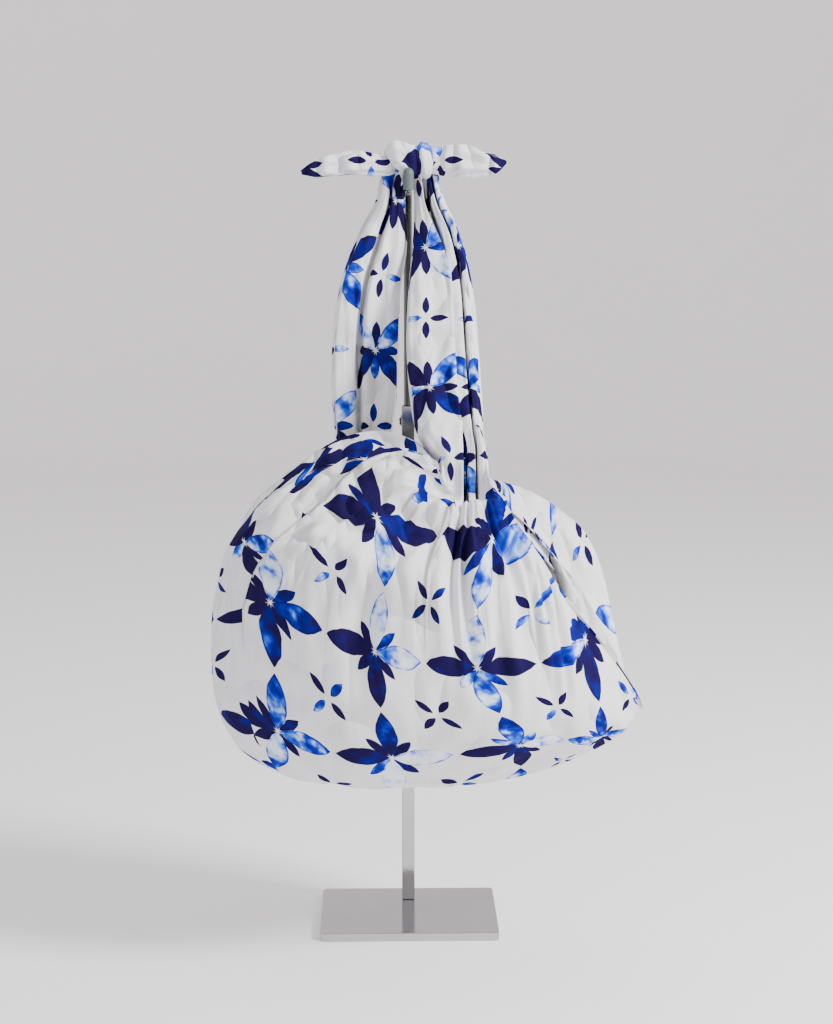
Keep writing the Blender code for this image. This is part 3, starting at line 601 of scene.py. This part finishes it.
# ---------------------------------------------------------------- the body
def directions():
    """The direction of each column of the bag, finer across the two gathers."""
    parts = []
    strap_a, strap_c = straps()
    for strap, following in ((strap_a, strap_c), (strap_c, strap_a)):
        first, last = strap.limits
        spread = np.maximum.accumulate(turns(strap.folds)[0])
        even = np.linspace(0.0, 1.0, strap.cells + 1)
        parts.append(first + (last - first) * (FOLLOW * spread + (1 - FOLLOW) * even)[:-1])
        until = last + (following.limits[0] - last) % 360.0
        parts.append(np.linspace(last, until, SIDE_CELLS, endpoint=False))
    parts.append(until + LAP_STEP * np.arange(-LAP_CELLS, 0))
    return np.concatenate(parts)


def levels():
    """Where the body's rows lie, from near 0 at the bottom's middle to 1 at the hem."""
    low = np.linspace(0.0, GATHER_LEVEL, SMOOTH_ROWS + 1)[1:]
    high = np.linspace(GATHER_LEVEL, 1.0, GATHER_ROWS + 1)[1:]
    return np.concatenate([low, high])


def plain_body(direction):
    """Rows of points of the body without folds, from near the bottom's middle up to the hem."""
    hem, shoulder, belly = (around(c, direction) for c in ("hem", "shoulder", "belly"))
    bottom = np.array(BOTTOM)
    left, right = belly[:, 0].min(), belly[:, 0].max()
    reach = np.interp(belly[:, 0], (left, right), LOW_REACH)
    rise = np.interp(belly[:, 0], (left, right), LOW_RISE)
    low = bottom + (belly - bottom) * np.stack([reach, reach, rise], axis=1)
    rings = np.stack([np.broadcast_to(bottom, hem.shape), low, belly, shoulder, hem])
    rows = levels()
    return through(LEVELS, rings.reshape(len(LEVELS), -1), rows).reshape(len(rows), -1, 3)


def body_rows(folded=True):
    """Rows of points of the body, drawn in to its two gathers.

    Without its folds it is the smooth shape that the print is laid out on.
    """
    direction = directions()
    rows = levels()
    grid = plain_body(direction)
    out = outward(grid)
    plain = grid.copy()
    gathered = np.zeros(grid.shape[:2])
    for strap in straps():
        columns = slice(strap.first, strap.first + strap.cells + 1)
        gather = strap_rows(strap)[0]
        fold = turns(strap.folds)[1]
        flat = LIP_FOLD * strap.facing * inside(strap)
        depth = strap.sections[0].depth
        drawn = grow(rows, FOLDS_GROW)[:, None, None]
        dent = (drawn ** FOLDS_POWER) * (fold if folded else flat)[:, None] * depth / 2
        lean = grow(rows, DRAWN_IN)[:, None, None]
        goal = grid[-1][columns] + 0.0
        deep = strap_frame(strap)[3][0]
        soft = grow(rows, LIP_GROW) * grow(rows, LIP_EDGE) if folded else np.ones(len(rows))
        gather = gather + soft[:, None, None] * ((flat - fold) * depth / 2)[:, None] * deep
        grid[:, columns] += out[:, columns] * dent * (1 - lean)
        grid[:, columns] += (gather - goal) * lean
        gathered[:, columns] = np.maximum(gathered[:, columns], lean[:, :, 0])
        if strap.facing > 0:
            swell = np.exp(-((rows - LIP_LEVEL) / LIP_WIDTH) ** 2) * grow(rows, SWELL_EDGE)
            grid[:, columns] += np.outer(swell, inside(strap))[:, :, None] * LIP_SWELL
    if not folded:
        return grid
    share = rear_share(direction)
    rear = grow(share, REAR_START) * grow(share, REAR_STOP)
    grid += np.outer(grow(rows, REAR_GROW), rear)[:, :, None] * REAR_HEM
    near = grow(rows, HEM_EASE)[:, None]
    height = relief(plain, out) + gather_folds(direction, rows)
    height = height * (1 - GATHER_CALM * gathered) * near
    grid += out * height[:, :, None]
    return grid + lap(grid, out, rows)


def rear_share(direction):
    """How far each column is on the way from corner D to strap C, from 0 to 1."""
    corner = (STRAP_A[1] + (STRAP_C[0] + 360.0 - STRAP_A[1]) / 2) % 360.0
    turn = (direction - corner) % 360.0
    return np.where(turn < 180.0, turn / (STRAP_C[0] - corner), 0.0).clip(0.0, 1.0)


def lap(grid, out, rows):
    """How far the lap moves each point of the body."""
    total = grid.shape[1]
    k = (np.arange(total) + total // 2) % total - total // 2
    turn = np.clip((k + LAP_CELLS + 1) / (LAP_CELLS + 1), 0.0, 1.0)
    fade = np.where(k < 0, ease(1 + (k + LAP_CELLS) / LAP_FADE[0]), ease(1 - k / LAP_FADE[1]))
    side = between(LAP_SIDE, turn) * fade
    lift = between(LAP_LIFT, ease(turn)) * fade
    size = grow(rows, LAP_GROW) * grow(rows, LAP_STOP)
    tangent = np.cross(unit(np.gradient(grid, axis=0)), out)
    shift = tangent * side[None, :, None] + out * lift[None, :, None]
    beside = np.maximum(np.where(k < 0, -k - LAP_CELLS, k), 0)
    track = np.interp(rows, *zip(*LAP_TRACK))[:, None] * ease(1 - beside / TRACK_FADE)
    return shift * size[:, None, None] + tangent * track[:, :, None]


def gather_folds(direction, rows):
    """Soft folds that run down the front from the gather and die out on the belly."""
    angle = (direction - STRAP_A[0]) % 360.0
    first, last = GATHER_SIDES
    beside = ease(angle / first) * ease((STRAP_A[1] - STRAP_A[0] + last - angle) / last)
    here = np.stack(np.broadcast_arrays(angle[None], rows[:, None], 0.0), axis=2)
    grown = grow(rows, GATHER_GROW) ** GATHER_POWER
    return GATHER_FOLDS.height * sharp(here, GATHER_FOLDS) * beside[None] * grown[:, None]


def crease_depth(crease, x, z):
    """How far a crease lifts the cloth at x and z."""
    points = np.array(crease.points)
    way = np.diff(points, axis=0)
    apart = np.stack([x, z], axis=-1)[..., None, :] - points[:-1]
    t = np.clip((apart * way).sum(axis=-1) / (way ** 2).sum(axis=-1), 0.0, 1.0)
    apart = apart - t[..., None] * way
    distance = np.hypot(apart[..., 0], apart[..., 1])
    side = np.sign(way[:, 0] * apart[..., 1] - way[:, 1] * apart[..., 0])
    nearest = distance.argmin(axis=-1)[..., None]
    best, side, t = (np.take_along_axis(v, nearest, -1)[..., 0] for v in (distance, side, t))
    share = (nearest[..., 0] + t) / len(way)
    grown = np.clip(share * CREASE_GROWTH + CREASE_START, 0.0, 1.0)
    fade = np.sqrt(np.clip(1 - share, 0.0, 1.0)) * grown
    step = -np.tanh(best * side / CREASE_STEP) if crease.lap else 1.0
    return crease.height * fade * step * np.exp(-(best / crease.width) ** 2)


def relief(grid, out):
    """How far creases and wrinkles lift each point of the body along its outward direction."""
    height = BROAD.height * wrinkle(grid, BROAD) + FINE.height * wrinkle(grid, FINE)
    front = grow(-out[:, :, 1], CREASE_FACING)
    for crease in CREASES:
        height += front * crease_depth(crease, grid[:, :, 0], grid[:, :, 2])
    return height


# ---------------------------------------------------------------- the turned-in corners
def read_rows(values, level):
    """Values of the body's rows at one level for each column."""
    place = np.interp(level, levels(), np.arange(len(values)))
    low = np.minimum(place.astype(int), len(values) - 2)
    part = (place - low)[:, None]
    k = np.arange(values.shape[1])
    return values[low, k] * (1 - part) + values[low + 1, k] * part


def flap_rows(body, first, crossing):
    """Rows of the cloth turned in at one side, from the hem down inside the wall and back up.

    Where crossing is true the second half of the side reaches over to the first half's hem, so
    that it closes the bag behind it, and the first half is short.
    """
    columns = np.arange(first, first + SIDE_CELLS + 1) % body.shape[1]
    wall = body[:, columns]
    out = outward(body)[:, columns]
    k = np.arange(SIDE_CELLS + 1)
    corner = SIDE_CELLS // 2
    taper = np.clip(np.minimum(k, SIDE_CELLS - k) / TAPER_CELLS, 0, 1)
    size = taper * np.clip(abs(k - corner) / CORNER_CELLS, 0.0, 1.0)
    depth = np.full(len(k), FLAP_DEPTH)
    over = np.zeros(len(k))
    if crossing:
        depth[:corner] = SHORT_DEPTH
        over[corner:] = size[corner:] * ease((SIDE_CELLS - CROSS_CELLS - k[corner:]) / CROSS_CELLS)
    up = unit(wall[-1] - wall[-4])
    result = []
    for turn in np.radians(FLAP_TURNS):
        rise = FLAP_ROLL * math.sin(turn) * taper
        inward = FLAP_ROLL * (1 - math.cos(turn)) * taper
        result.append(wall[-1] + up * rise[:, None] - out[-1] * inward[:, None])
    down = np.linspace(0.0, 1.0, FLAP_ROWS + 1)[1:]
    back = 1.0 + np.linspace(0.0, RETURN_SHARE, RETURN_ROWS + 1)[1:]
    for travel in np.concatenate([down, back]):
        share = min(travel, 2.0 - travel)
        apart = RETURN_GAP * grow(travel, RETURN_TURN)
        level = 1.0 - depth * share * size
        wave = FLAP_WAVE * np.sin(2 * math.pi * k / WAVE_CELLS + WAVE_LEAN * share)
        loose = ease(share * WAVE_GROWTH)
        gap = (2 * FLAP_ROLL + (FLAP_GAP - 2 * FLAP_ROLL + wave) * loose + apart) * size
        own = read_rows(wall, level) - read_rows(out, level) * gap[:, None]
        # The same place behind the other half of the side.
        mirror = np.clip(2 * corner - k, 0, SIDE_CELLS)
        level = 1.0 - (CROSS_DROP + depth * np.clip(share - CROSS_SHARE, 0.0, 1.0)) * size
        inward = read_rows(out[:, mirror], level)
        behind = read_rows(wall[:, mirror], level)
        behind = behind - inward * (CROSS_GAP + wave * loose * CROSS_WAVE + apart)[:, None]
        part = (over * ease(share / CROSS_SHARE))[:, None]
        crown = CROSS_CROWN * np.sin(math.pi * np.clip(share / CROSS_SHARE, 0, 1))
        result.append(own * (1 - part) + behind * part + np.outer(over, (0.0, 0.0, crown)))
    return np.array(result)


# ---------------------------------------------------------------- the sheet
class Sheet:
    """Points and faces of the cloth, with the print's place at each corner of each face."""

    def __init__(self):
        self.points, self.faces, self.print, self.slots = [], [], [], []

    def add(self, rows):
        """New points for the rows, and their numbers."""
        first = len(self.points)
        self.points += [tuple(p) for row in rows for p in row]
        return np.arange(first, first + rows.shape[0] * rows.shape[1]).reshape(rows.shape[:2])

    def face(self, corners, cells, slot=0):
        self.faces.append([int(n) for n in corners])
        self.print += [tuple(cell) for cell in cells]
        self.slots.append(slot)

    def weave(self, numbers, cells, slot=0):
        """Faces between neighbouring rows and columns, in one material slot."""
        for r in range(numbers.shape[0] - 1):
            for c in range(numbers.shape[1] - 1):
                corners = ((r, c), (r, c + 1), (r + 1, c + 1), (r + 1, c))
                self.face([numbers[k] for k in corners], [cells[k] for k in corners], slot)

    def mesh(self, name):
        mesh = bpy.data.meshes.new(name)
        mesh.from_pydata(self.points, [], self.faces)
        mesh.polygons.foreach_set("material_index", self.slots)
        layer = mesh.uv_layers.new(name="print")
        layer.data.foreach_set("uv", np.array(self.print, np.float32).ravel())
        mesh.update()
        mesh.shade_smooth()
        return mesh


def arc(rows, axis):
    """Length along the points of the grid, from its first, along one axis."""
    step = np.linalg.norm(np.diff(rows, axis=axis), axis=2)
    pad = [(0, 0), (0, 0)]
    pad[axis] = (1, 0)
    return np.pad(np.cumsum(step, axis=axis), pad)


def slanting(across, along, pitch):
    """Columns and rows of the print where its lattice lies diagonally."""
    return np.stack([across + along, along - across], axis=2) / math.sqrt(2) / pitch


def strap_print(strap, rows):
    """The print on a strap, with a flower at the listed place."""
    place = STRAP_FLOWERS[strap.facing]
    across = arc(rows, 1)
    ledge = turns(strap.folds)[1] * strap.facing < VALLEY_SIDES
    across = across + HIDDEN * np.cumsum(ledge) / (2 * FOLD_CELLS)
    middle = int(np.argmin(abs(turns(strap.folds)[0] - place.across)))
    across = across - across[:, middle:middle + 1]
    along = arc(rows, 0)[:, middle]
    along = along - np.interp(place.height, rows[:, middle, 2], along)
    return slanting(across, np.broadcast_to(along[:, None], across.shape), STRAP_PITCH)


def cloth_mesh():
    """Body, straps and turned-in sides as one open sheet."""
    body = body_rows()
    sheet = Sheet()
    numbers = sheet.add(body)
    strap_a, strap_c = straps()
    smooth = body_rows(folded=False)
    corner_d = strap_a.cells + SIDE_CELLS // 2
    total = body.shape[1]
    lap_middle = total - LAP_CELLS // 2
    wrapped = np.concatenate([numbers, numbers[:, :1]], axis=1)
    charts = []
    for flowers in (FRONT_PRINT, REAR_PRINT):
        chart = warp(flowers, smooth)
        middle = warp(flowers, np.array([BOTTOM]))[0]
        charts.append((np.concatenate([chart, chart[:, :1]], axis=1), middle))
    front, rear = charts
    for (chart, _), start, stop in ((front, 0, corner_d), (rear, corner_d, lap_middle),
                                    (front, lap_middle, total)):
        sheet.weave(wrapped[:, start:stop + 1], chart[:, start:stop + 1])
    pole = len(sheet.points)
    sheet.points.append(BOTTOM)
    for c in range(total):
        chart, middle = front if c < corner_d else rear
        sheet.face([pole, wrapped[0, c + 1], wrapped[0, c]], [middle, chart[0, c + 1], chart[0, c]])
    for strap in (strap_a, strap_c):
        rows = strap_rows(strap)
        base = wrapped[-1:, strap.first:strap.first + strap.cells + 1]
        above = sheet.add(rows[1:])
        slot = BOTH_SIDES if strap.facing < 0 else 0
        sheet.weave(np.concatenate([base, above]), strap_print(strap, rows), slot)
    for first, crossing in ((strap_a.cells, True), (strap_c.first + strap_c.cells, False)):
        rows = flap_rows(body, first, crossing)
        base = wrapped[-1:, first:first + SIDE_CELLS + 1]
        added = sheet.add(rows)
        hem = body[-1:, (first + np.arange(SIDE_CELLS + 1)) % total]
        chart = warp(REAR_PRINT, np.concatenate([hem, rows])) + FLAP_PRINT
        sheet.weave(np.concatenate([base, added]), chart)
    return sheet.mesh("furoshiki")


# ---------------------------------------------------------------- the knot
def ring_rows(stations, steps, angles, depth_axis=FORE_AND_AFT, pleats=0.0):
    """Rows of points round a path of stations, each as high and deep as listed."""
    where, centre, along, height, depth = path(stations, steps)
    back = unit(np.array(depth_axis) - along * (along @ np.array(depth_axis))[:, None])
    up = np.cross(back, along)
    swell = 1.0
    for share, count, wind in PLEAT_SETS:
        swell = swell + pleats * share * np.cos(angles[None] * count + wind * where[:, None])
    rows = centre[:, None] + up[:, None] * (height / 2 * np.cos(angles) * swell)[:, :, None]
    return rows + back[:, None] * (depth / 2 * np.sin(angles) * swell)[:, :, None]


def band(name, stations, depth_axis, place, scale):
    """A closed band of the knot, with lengthwise folds and its own part of the print."""
    angles = np.linspace(0.0, 2 * math.pi, BAND_SIDES + 1)
    rows = ring_rows(stations, BAND_STEPS, angles, depth_axis, BAND_PLEATS)
    sheet = Sheet()
    numbers = sheet.add(rows[:, :-1])
    numbers = np.concatenate([numbers, numbers[:, :1]], axis=1)
    print_place = np.stack([arc(rows, 1), arc(rows, 0)], axis=2) / PITCH * scale + np.array(place)
    sheet.weave(numbers, print_place)
    for end in (numbers[0, :0:-1], np.roll(numbers[-1, :-1], 1)):
        sheet.face(end, [place] * BAND_SIDES)
    return sheet.mesh(name)


def leaf(name, stations, offset):
    """A free end of the cloth, rolled round its own length and open below."""
    half = math.radians(LEAF_TURN) / 2
    angles = np.linspace(-half, half, LEAF_SIDES + 1)
    rows = ring_rows(stations, LEAF_STEPS, angles, pleats=LEAF_PLEATS)
    rows = rows + (LEAF_SOFT.height * wrinkle(rows, LEAF_SOFT))[:, :, None]
    sheet = Sheet()
    sheet.weave(sheet.add(rows), slanting(arc(rows, 1), arc(rows, 0), PITCH) + np.array(offset))
    return sheet.mesh(name)


# ---------------------------------------------------------------- finishes
def calculation(operation, backwards=False):
    """A method that adds a math node for a value and another."""
    def apply(self, other=0.0):
        pair = (other, self) if backwards else (self, other)
        return self.nodes.math(operation, *pair)
    return apply


class Value:
    """A number in a material's nodes, for plain arithmetic."""

    def __init__(self, nodes, socket):
        self.nodes, self.socket = nodes, socket

    __add__ = calculation("ADD")
    __sub__ = calculation("SUBTRACT")
    __rsub__ = calculation("SUBTRACT", backwards=True)
    __mul__ = calculation("MULTIPLY")
    __truediv__ = calculation("DIVIDE")
    __abs__ = calculation("ABSOLUTE")
    above = calculation("GREATER_THAN")  # 1 where the value is above the other, else 0


class Nodes:
    """A short way to write a material's nodes."""

    def __init__(self, name):
        self.material = bpy.data.materials.new(name)
        self.material.use_nodes = True
        self.tree = self.material.node_tree
        self.shader = self.tree.nodes["Principled BSDF"]
        self.place = self.node("TexCoord").outputs["Object"]

    def node(self, kind, settings=None, **inputs):
        made = self.tree.nodes.new("ShaderNode" + kind)
        for key, value in (settings or {}).items():
            setattr(made, key, value)
        for key, value in inputs.items():
            self.put(made.inputs[key.replace("_", " ")], value)
        return made

    def put(self, socket, value):
        if isinstance(value, Value):
            value = value.socket
        if isinstance(value, bpy.types.NodeSocket):
            self.tree.links.new(value, socket)
        else:
            socket.default_value = value

    def finish(self, **inputs):
        """Set the shader's own inputs and give the material."""
        for key, value in inputs.items():
            self.put(self.shader.inputs[key.replace("_", " ")], value)
        return self.material

    def math(self, operation, a, b=0.0):
        made = self.node("Math", {"operation": operation})
        for socket, value in zip(made.inputs, (a, b)):
            self.put(socket, value)
        return Value(self, made.outputs[0])

    def mix(self, factor, a, b):
        made = self.node("Mix", {"data_type": "RGBA"}, Factor=factor)
        for number, colour in ((6, a), (7, b)):
            self.put(made.inputs[number], (*colour, 1.0) if isinstance(colour, tuple) else colour)
        return made.outputs[2]

    def ramp(self, value, stops):
        made = self.node("ValToRGB", Fac=value)
        elements = made.color_ramp.elements
        while len(elements) < len(stops):
            elements.new(0.5)
        for element, (position, colour) in zip(elements, stops):
            element.position = position
            element.color = (*colour, 1.0)
        return made.outputs[0]

    def stretch(self, vector, scale):
        made = self.node("VectorMath", {"operation": "MULTIPLY"})
        self.put(made.inputs[0], vector)
        self.put(made.inputs[1], scale)
        return made.outputs[0]

    def noise(self, vector, scale, detail=2.0, roughness=0.5):
        made = self.node("TexNoise", Vector=vector, Scale=scale, Detail=detail, Roughness=roughness)
        return Value(self, made.outputs[0])

    def smooth(self, value, span):
        """From 0 at the span's first value to 1 at its last, with soft ends."""
        made = self.node("MapRange", {"interpolation_type": "SMOOTHSTEP"})
        for socket, number in zip(made.inputs, (value, *span, 0.0, 1.0)):
            self.put(socket, number)
        return Value(self, made.outputs[0])

    def bump(self, strength, distance, height, **normal):
        made = self.node("Bump", Strength=strength, Distance=distance, Height=height, **normal)
        return made.outputs[0]


def petal_shape(n, along, across, petal):
    """Above 0 inside the petal, 0 on its outline, and how far along it from -1 to 1."""
    x = (along - petal.middle) / petal.reach
    y = abs(across) / petal.width
    power = x.above(0.0) * (OUTER_POINT - INNER_POINT) + INNER_POINT
    return 1.0 - n.math("POWER", abs(x), power) - y, x


def cloth_print(n, uv):
    """The printed colour at the sheet's own coordinates, and how much of it covers the cotton."""
    wobble = (n.noise(uv, *WOBBLE_NOISE) - 0.5) * PRINT_WOBBLE
    axes = n.node("SeparateXYZ", Vector=uv)
    local, cells = [], []
    for axis in axes.outputs[:2]:
        moved = Value(n, axis) + wobble
        cells.append(n.math("FLOOR", moved + 0.5))
        local.append(moved - cells[-1])
    size = [abs(value) for value in local]
    sign = [n.math("SIGN", value) for value in local]
    upright = size[1].above(size[0])
    big, big_x = petal_shape(n, n.math("MAXIMUM", *size), n.math("MINIMUM", *size), BIG_PETAL)
    diagonal = (size[0] + size[1]) / math.sqrt(2)
    aside = (size[0] - size[1]) / math.sqrt(2)
    small, _ = petal_shape(n, diagonal, aside, SMALL_PETAL)
    loose, _ = petal_shape(n, diagonal, aside, LOOSE_LEAF)
    # A number of its own for each petal.
    is_big = big.above(0.0)
    kind = is_big * 3.0 + loose.above(0.0) * 7.0
    turn = sign[0] * (1.0 - upright) + sign[1] * upright * 2.0
    spin = sign[0] * 0.7 + sign[1] * 0.31
    own = is_big * turn + (1.0 - is_big) * spin
    ident = n.node("CombineXYZ", X=cells[0], Y=cells[1], Z=kind + own).outputs[0]
    lot = n.node("TexWhiteNoise", {"noise_dimensions": "3D"}, Vector=ident)
    lots = n.node("SeparateColor", Color=lot.outputs["Color"])
    own_depth, own_tip = (Value(n, socket) for socket in lots.outputs[:2])
    shape = n.math("MAXIMUM", n.math("MAXIMUM", big, small), loose)
    # Watercolour: each petal has its own depth of ink, which pools and thins.
    tip = n.math("MAXIMUM", is_big * big_x, -1.0)
    depth = own_depth * LOT_INK + n.noise(uv, POOL_NOISE) * POOL_INK
    depth = depth + tip * TIP_INK * own_tip + n.noise(uv, *GRAIN_NOISE) * GRAIN_INK
    depth = depth + (1.0 - is_big) * SMALL_INK
    depth = depth + (1.0 - n.smooth(shape, OUTLINE)) * OUTLINE_INK
    return n.ramp(n.smooth(depth, INK_RANGE), INK), n.smooth(shape, (0.0, INK_EDGE))


def thread_bump(n, uv):
    """The plain weave with its uneven threads, on soft creases that run down from the gather."""
    across, along = (n.noise(n.stretch(uv, scale), 1.0) for scale in THREADS)
    pulls = abs(n.noise(n.stretch(n.place, PULLS), 1.0, 1.0, 0.4) - 0.5)
    height = Value(n, n.node("SeparateXYZ", Vector=n.place).outputs[2])
    pulls = pulls * (n.smooth(height, PULLS_GROW) + 0.25)
    soft = abs(n.noise(n.place, 15.0, 1.0, 0.4) - 0.5)
    creased = n.bump(1.0, 0.022, pulls + soft * 1.6)
    return n.bump(0.35, 0.0004, across + along, Normal=creased)


def cotton(name, tones, ink_share, roughness, specular):
    n = Nodes(name)
    uv = n.node("UVMap", {"uv_map": "print"}).outputs[0]
    colour, ink = cloth_print(n, uv)
    bare = n.mix(n.noise(uv, 1.4), *tones)
    return n.finish(
        Base_Color=n.mix(ink * ink_share, bare, colour),
        Normal=thread_bump(n, uv),
        Roughness=roughness,
        Specular_IOR_Level=specular,
    )


def chrome():
    n = Nodes("polished_chrome")
    smudge = n.noise(n.place, 22.0, 4.0, 0.6)
    brushed = n.noise(n.stretch(n.place, (40.0, 900.0, 900.0)), 1.0)
    return n.finish(
        Base_Color=n.mix(smudge, (0.4, 0.405, 0.415), (0.52, 0.52, 0.525)),
        Roughness=smudge * 0.14 + brushed * 0.06 + 0.02,
        Normal=n.bump(0.04, 0.0002, brushed),
        Metallic=1.0,
    )


def chrome_painted_dark_reflection():
    # The inner rod is chrome like the tube. This darkened base colour is a painted dark reflection,
    # standing in for the dark surroundings that its chrome would mirror. The thumb screw shares it.
    n = Nodes("chrome_painted_dark_reflection")
    smudge = n.noise(n.place, 60.0, 4.0, 0.6)
    tone = n.mix(smudge, (0.1, 0.1, 0.1), (0.17, 0.17, 0.165))
    return n.finish(Base_Color=tone, Roughness=smudge * 0.15 + 0.18, Metallic=1.0)


def rubber():
    n = Nodes("grey_rubber")
    speck = n.noise(n.place, 900.0, 3.0)
    tone = n.mix(speck, (0.055, 0.085, 0.085), (0.1, 0.13, 0.13))
    pores = n.bump(0.2, 0.0002, speck)
    return n.finish(Base_Color=tone, Roughness=speck * 0.2 + 0.42, Normal=pores)


def pale_floor():
    n = Nodes("pale_floor")
    tone = n.noise(n.place, 3.0)
    return n.finish(Base_Color=n.mix(tone, (0.93, 0.905, 0.91), (0.95, 0.925, 0.93)), Roughness=0.7)


# ---------------------------------------------------------------- putting it together
def placed(name, data):
    obj = bpy.data.objects.new(name, data)
    bpy.context.scene.collection.objects.link(obj)
    return obj


def piece(name, mesh, materials):
    for material in materials:
        mesh.materials.append(material)
    return placed(name, mesh)


def thicken(obj):
    """Give an open sheet its thickness, with the underside in the second material."""
    thick = obj.modifiers.new("thickness", "SOLIDIFY")
    thick.thickness = THICKNESS
    thick.offset = 0.0
    thick.use_even_offset = False
    thick.use_quality_normals = True
    thick.material_offset = 1
    graph = bpy.context.evaluated_depsgraph_get()
    mesh = bpy.data.meshes.new_from_object(obj.evaluated_get(graph))
    obj.modifiers.clear()
    obj.data = mesh


def furoshiki():
    printed = cotton("printed_cotton", PRINTED_TONES, 1.0, 0.88, 0.05)
    below = cotton("cotton_underside", UNDERSIDE_TONES, UNDERSIDE_INK, 0.9, 0.2)
    cloth = piece("furoshiki_cloth", cloth_mesh(), (printed, below, printed, printed))
    left = piece("left_end", leaf("left_end", LEFT_END, (0.2, 0.4)), (printed, below))
    right = piece("right_end", leaf("right_end", RIGHT_END, (0.27, 0.47)), (printed, below))
    for obj in (cloth, left, right):
        thicken(obj)
    knot = []
    for name, stations, depth_axis, place, scale in (
        ("knot_core", KNOT_CORE, FORE_AND_AFT, (0.3, 0.3), 1.0),
        ("knot_front", KNOT_FRONT, FORE_AND_AFT, (0.4, 0.22), 0.5),
        ("knot_round", KNOT_WRAP, SIDEWAYS, (0.22, -0.02), 0.35),
    ):
        knot.append(piece(name, band(name, stations, depth_axis, place, scale), (printed,)))
    for obj in [cloth, left, right] + knot:
        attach(obj, "root")
        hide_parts("furoshiki")


def stand():
    # The rod and the thumb screw get chrome with a painted dark reflection in its base colour.
    metal, painted_dark_reflection, grip = chrome(), chrome_painted_dark_reflection(), rubber()
    finishes = {
        "base_plate": metal, "post_tube": metal, "thumb_screw": painted_dark_reflection, "inner_rod": painted_dark_reflection,
        "hook_cap": grip,
    }
    for name, finish in finishes.items():
        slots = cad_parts[name].data.materials
        slots.clear()
        slots.append(finish)


# ---------------------------------------------------------------- the studio
def camera():
    data = bpy.data.cameras.new("camera")
    data.sensor_fit = "VERTICAL"
    data.sensor_height = SENSOR
    data.lens = SENSOR * FOCAL_PIXELS / IMAGE_HEIGHT
    obj = placed("camera", data)
    obj.location = CAMERA_PLACE
    obj.rotation_euler = (math.radians(90 - CAMERA_PITCH), 0.0, math.radians(-CAMERA_YAW))
    bpy.context.scene.camera = obj


def floor():
    """A plain pale floor, round, that curves up at its rim so that no edge shows from any side."""
    rise = np.radians(np.linspace(0.0, 90.0, RIM_STEPS + 1))
    reach = [0.0, *FLOOR_REACH + RIM_BEND * np.sin(rise), FLOOR_REACH + RIM_BEND]
    height = [0.0, *RIM_BEND * (1 - np.cos(rise)), RIM_HEIGHT]
    turn = np.radians(np.linspace(360.0, 0.0, FLOOR_SIDES + 1))
    rows = np.stack([np.outer(reach, np.cos(turn)), np.outer(reach, np.sin(turn)),
                     np.outer(height, np.ones(len(turn)))], axis=2)
    sheet = Sheet()
    sheet.weave(sheet.add(rows), rows[:, :, :2])
    piece("floor", sheet.mesh("floor"), [pale_floor()])


def studio():
    for name, lamp in LAMPS.items():
        data = bpy.data.lights.new(name, "AREA")
        data.shape = "RECTANGLE"
        data.size, data.size_y = lamp.size
        data.energy = lamp.power
        data.color = lamp.colour
        obj = placed(name, data)
        obj.location = lamp.place
        obj.rotation_euler = (Vector(LIT_PLACE) - obj.location).to_track_quat("-Z", "Y").to_euler()
    world = bpy.data.worlds.new("studio")
    world.use_nodes = True
    background = world.node_tree.nodes["Background"]
    background.inputs["Color"].default_value = ROOM_COLOUR
    background.inputs["Strength"].default_value = ROOM_LIGHT
    bpy.context.scene.world = world


camera()
studio()
floor()
stand()
furoshiki()
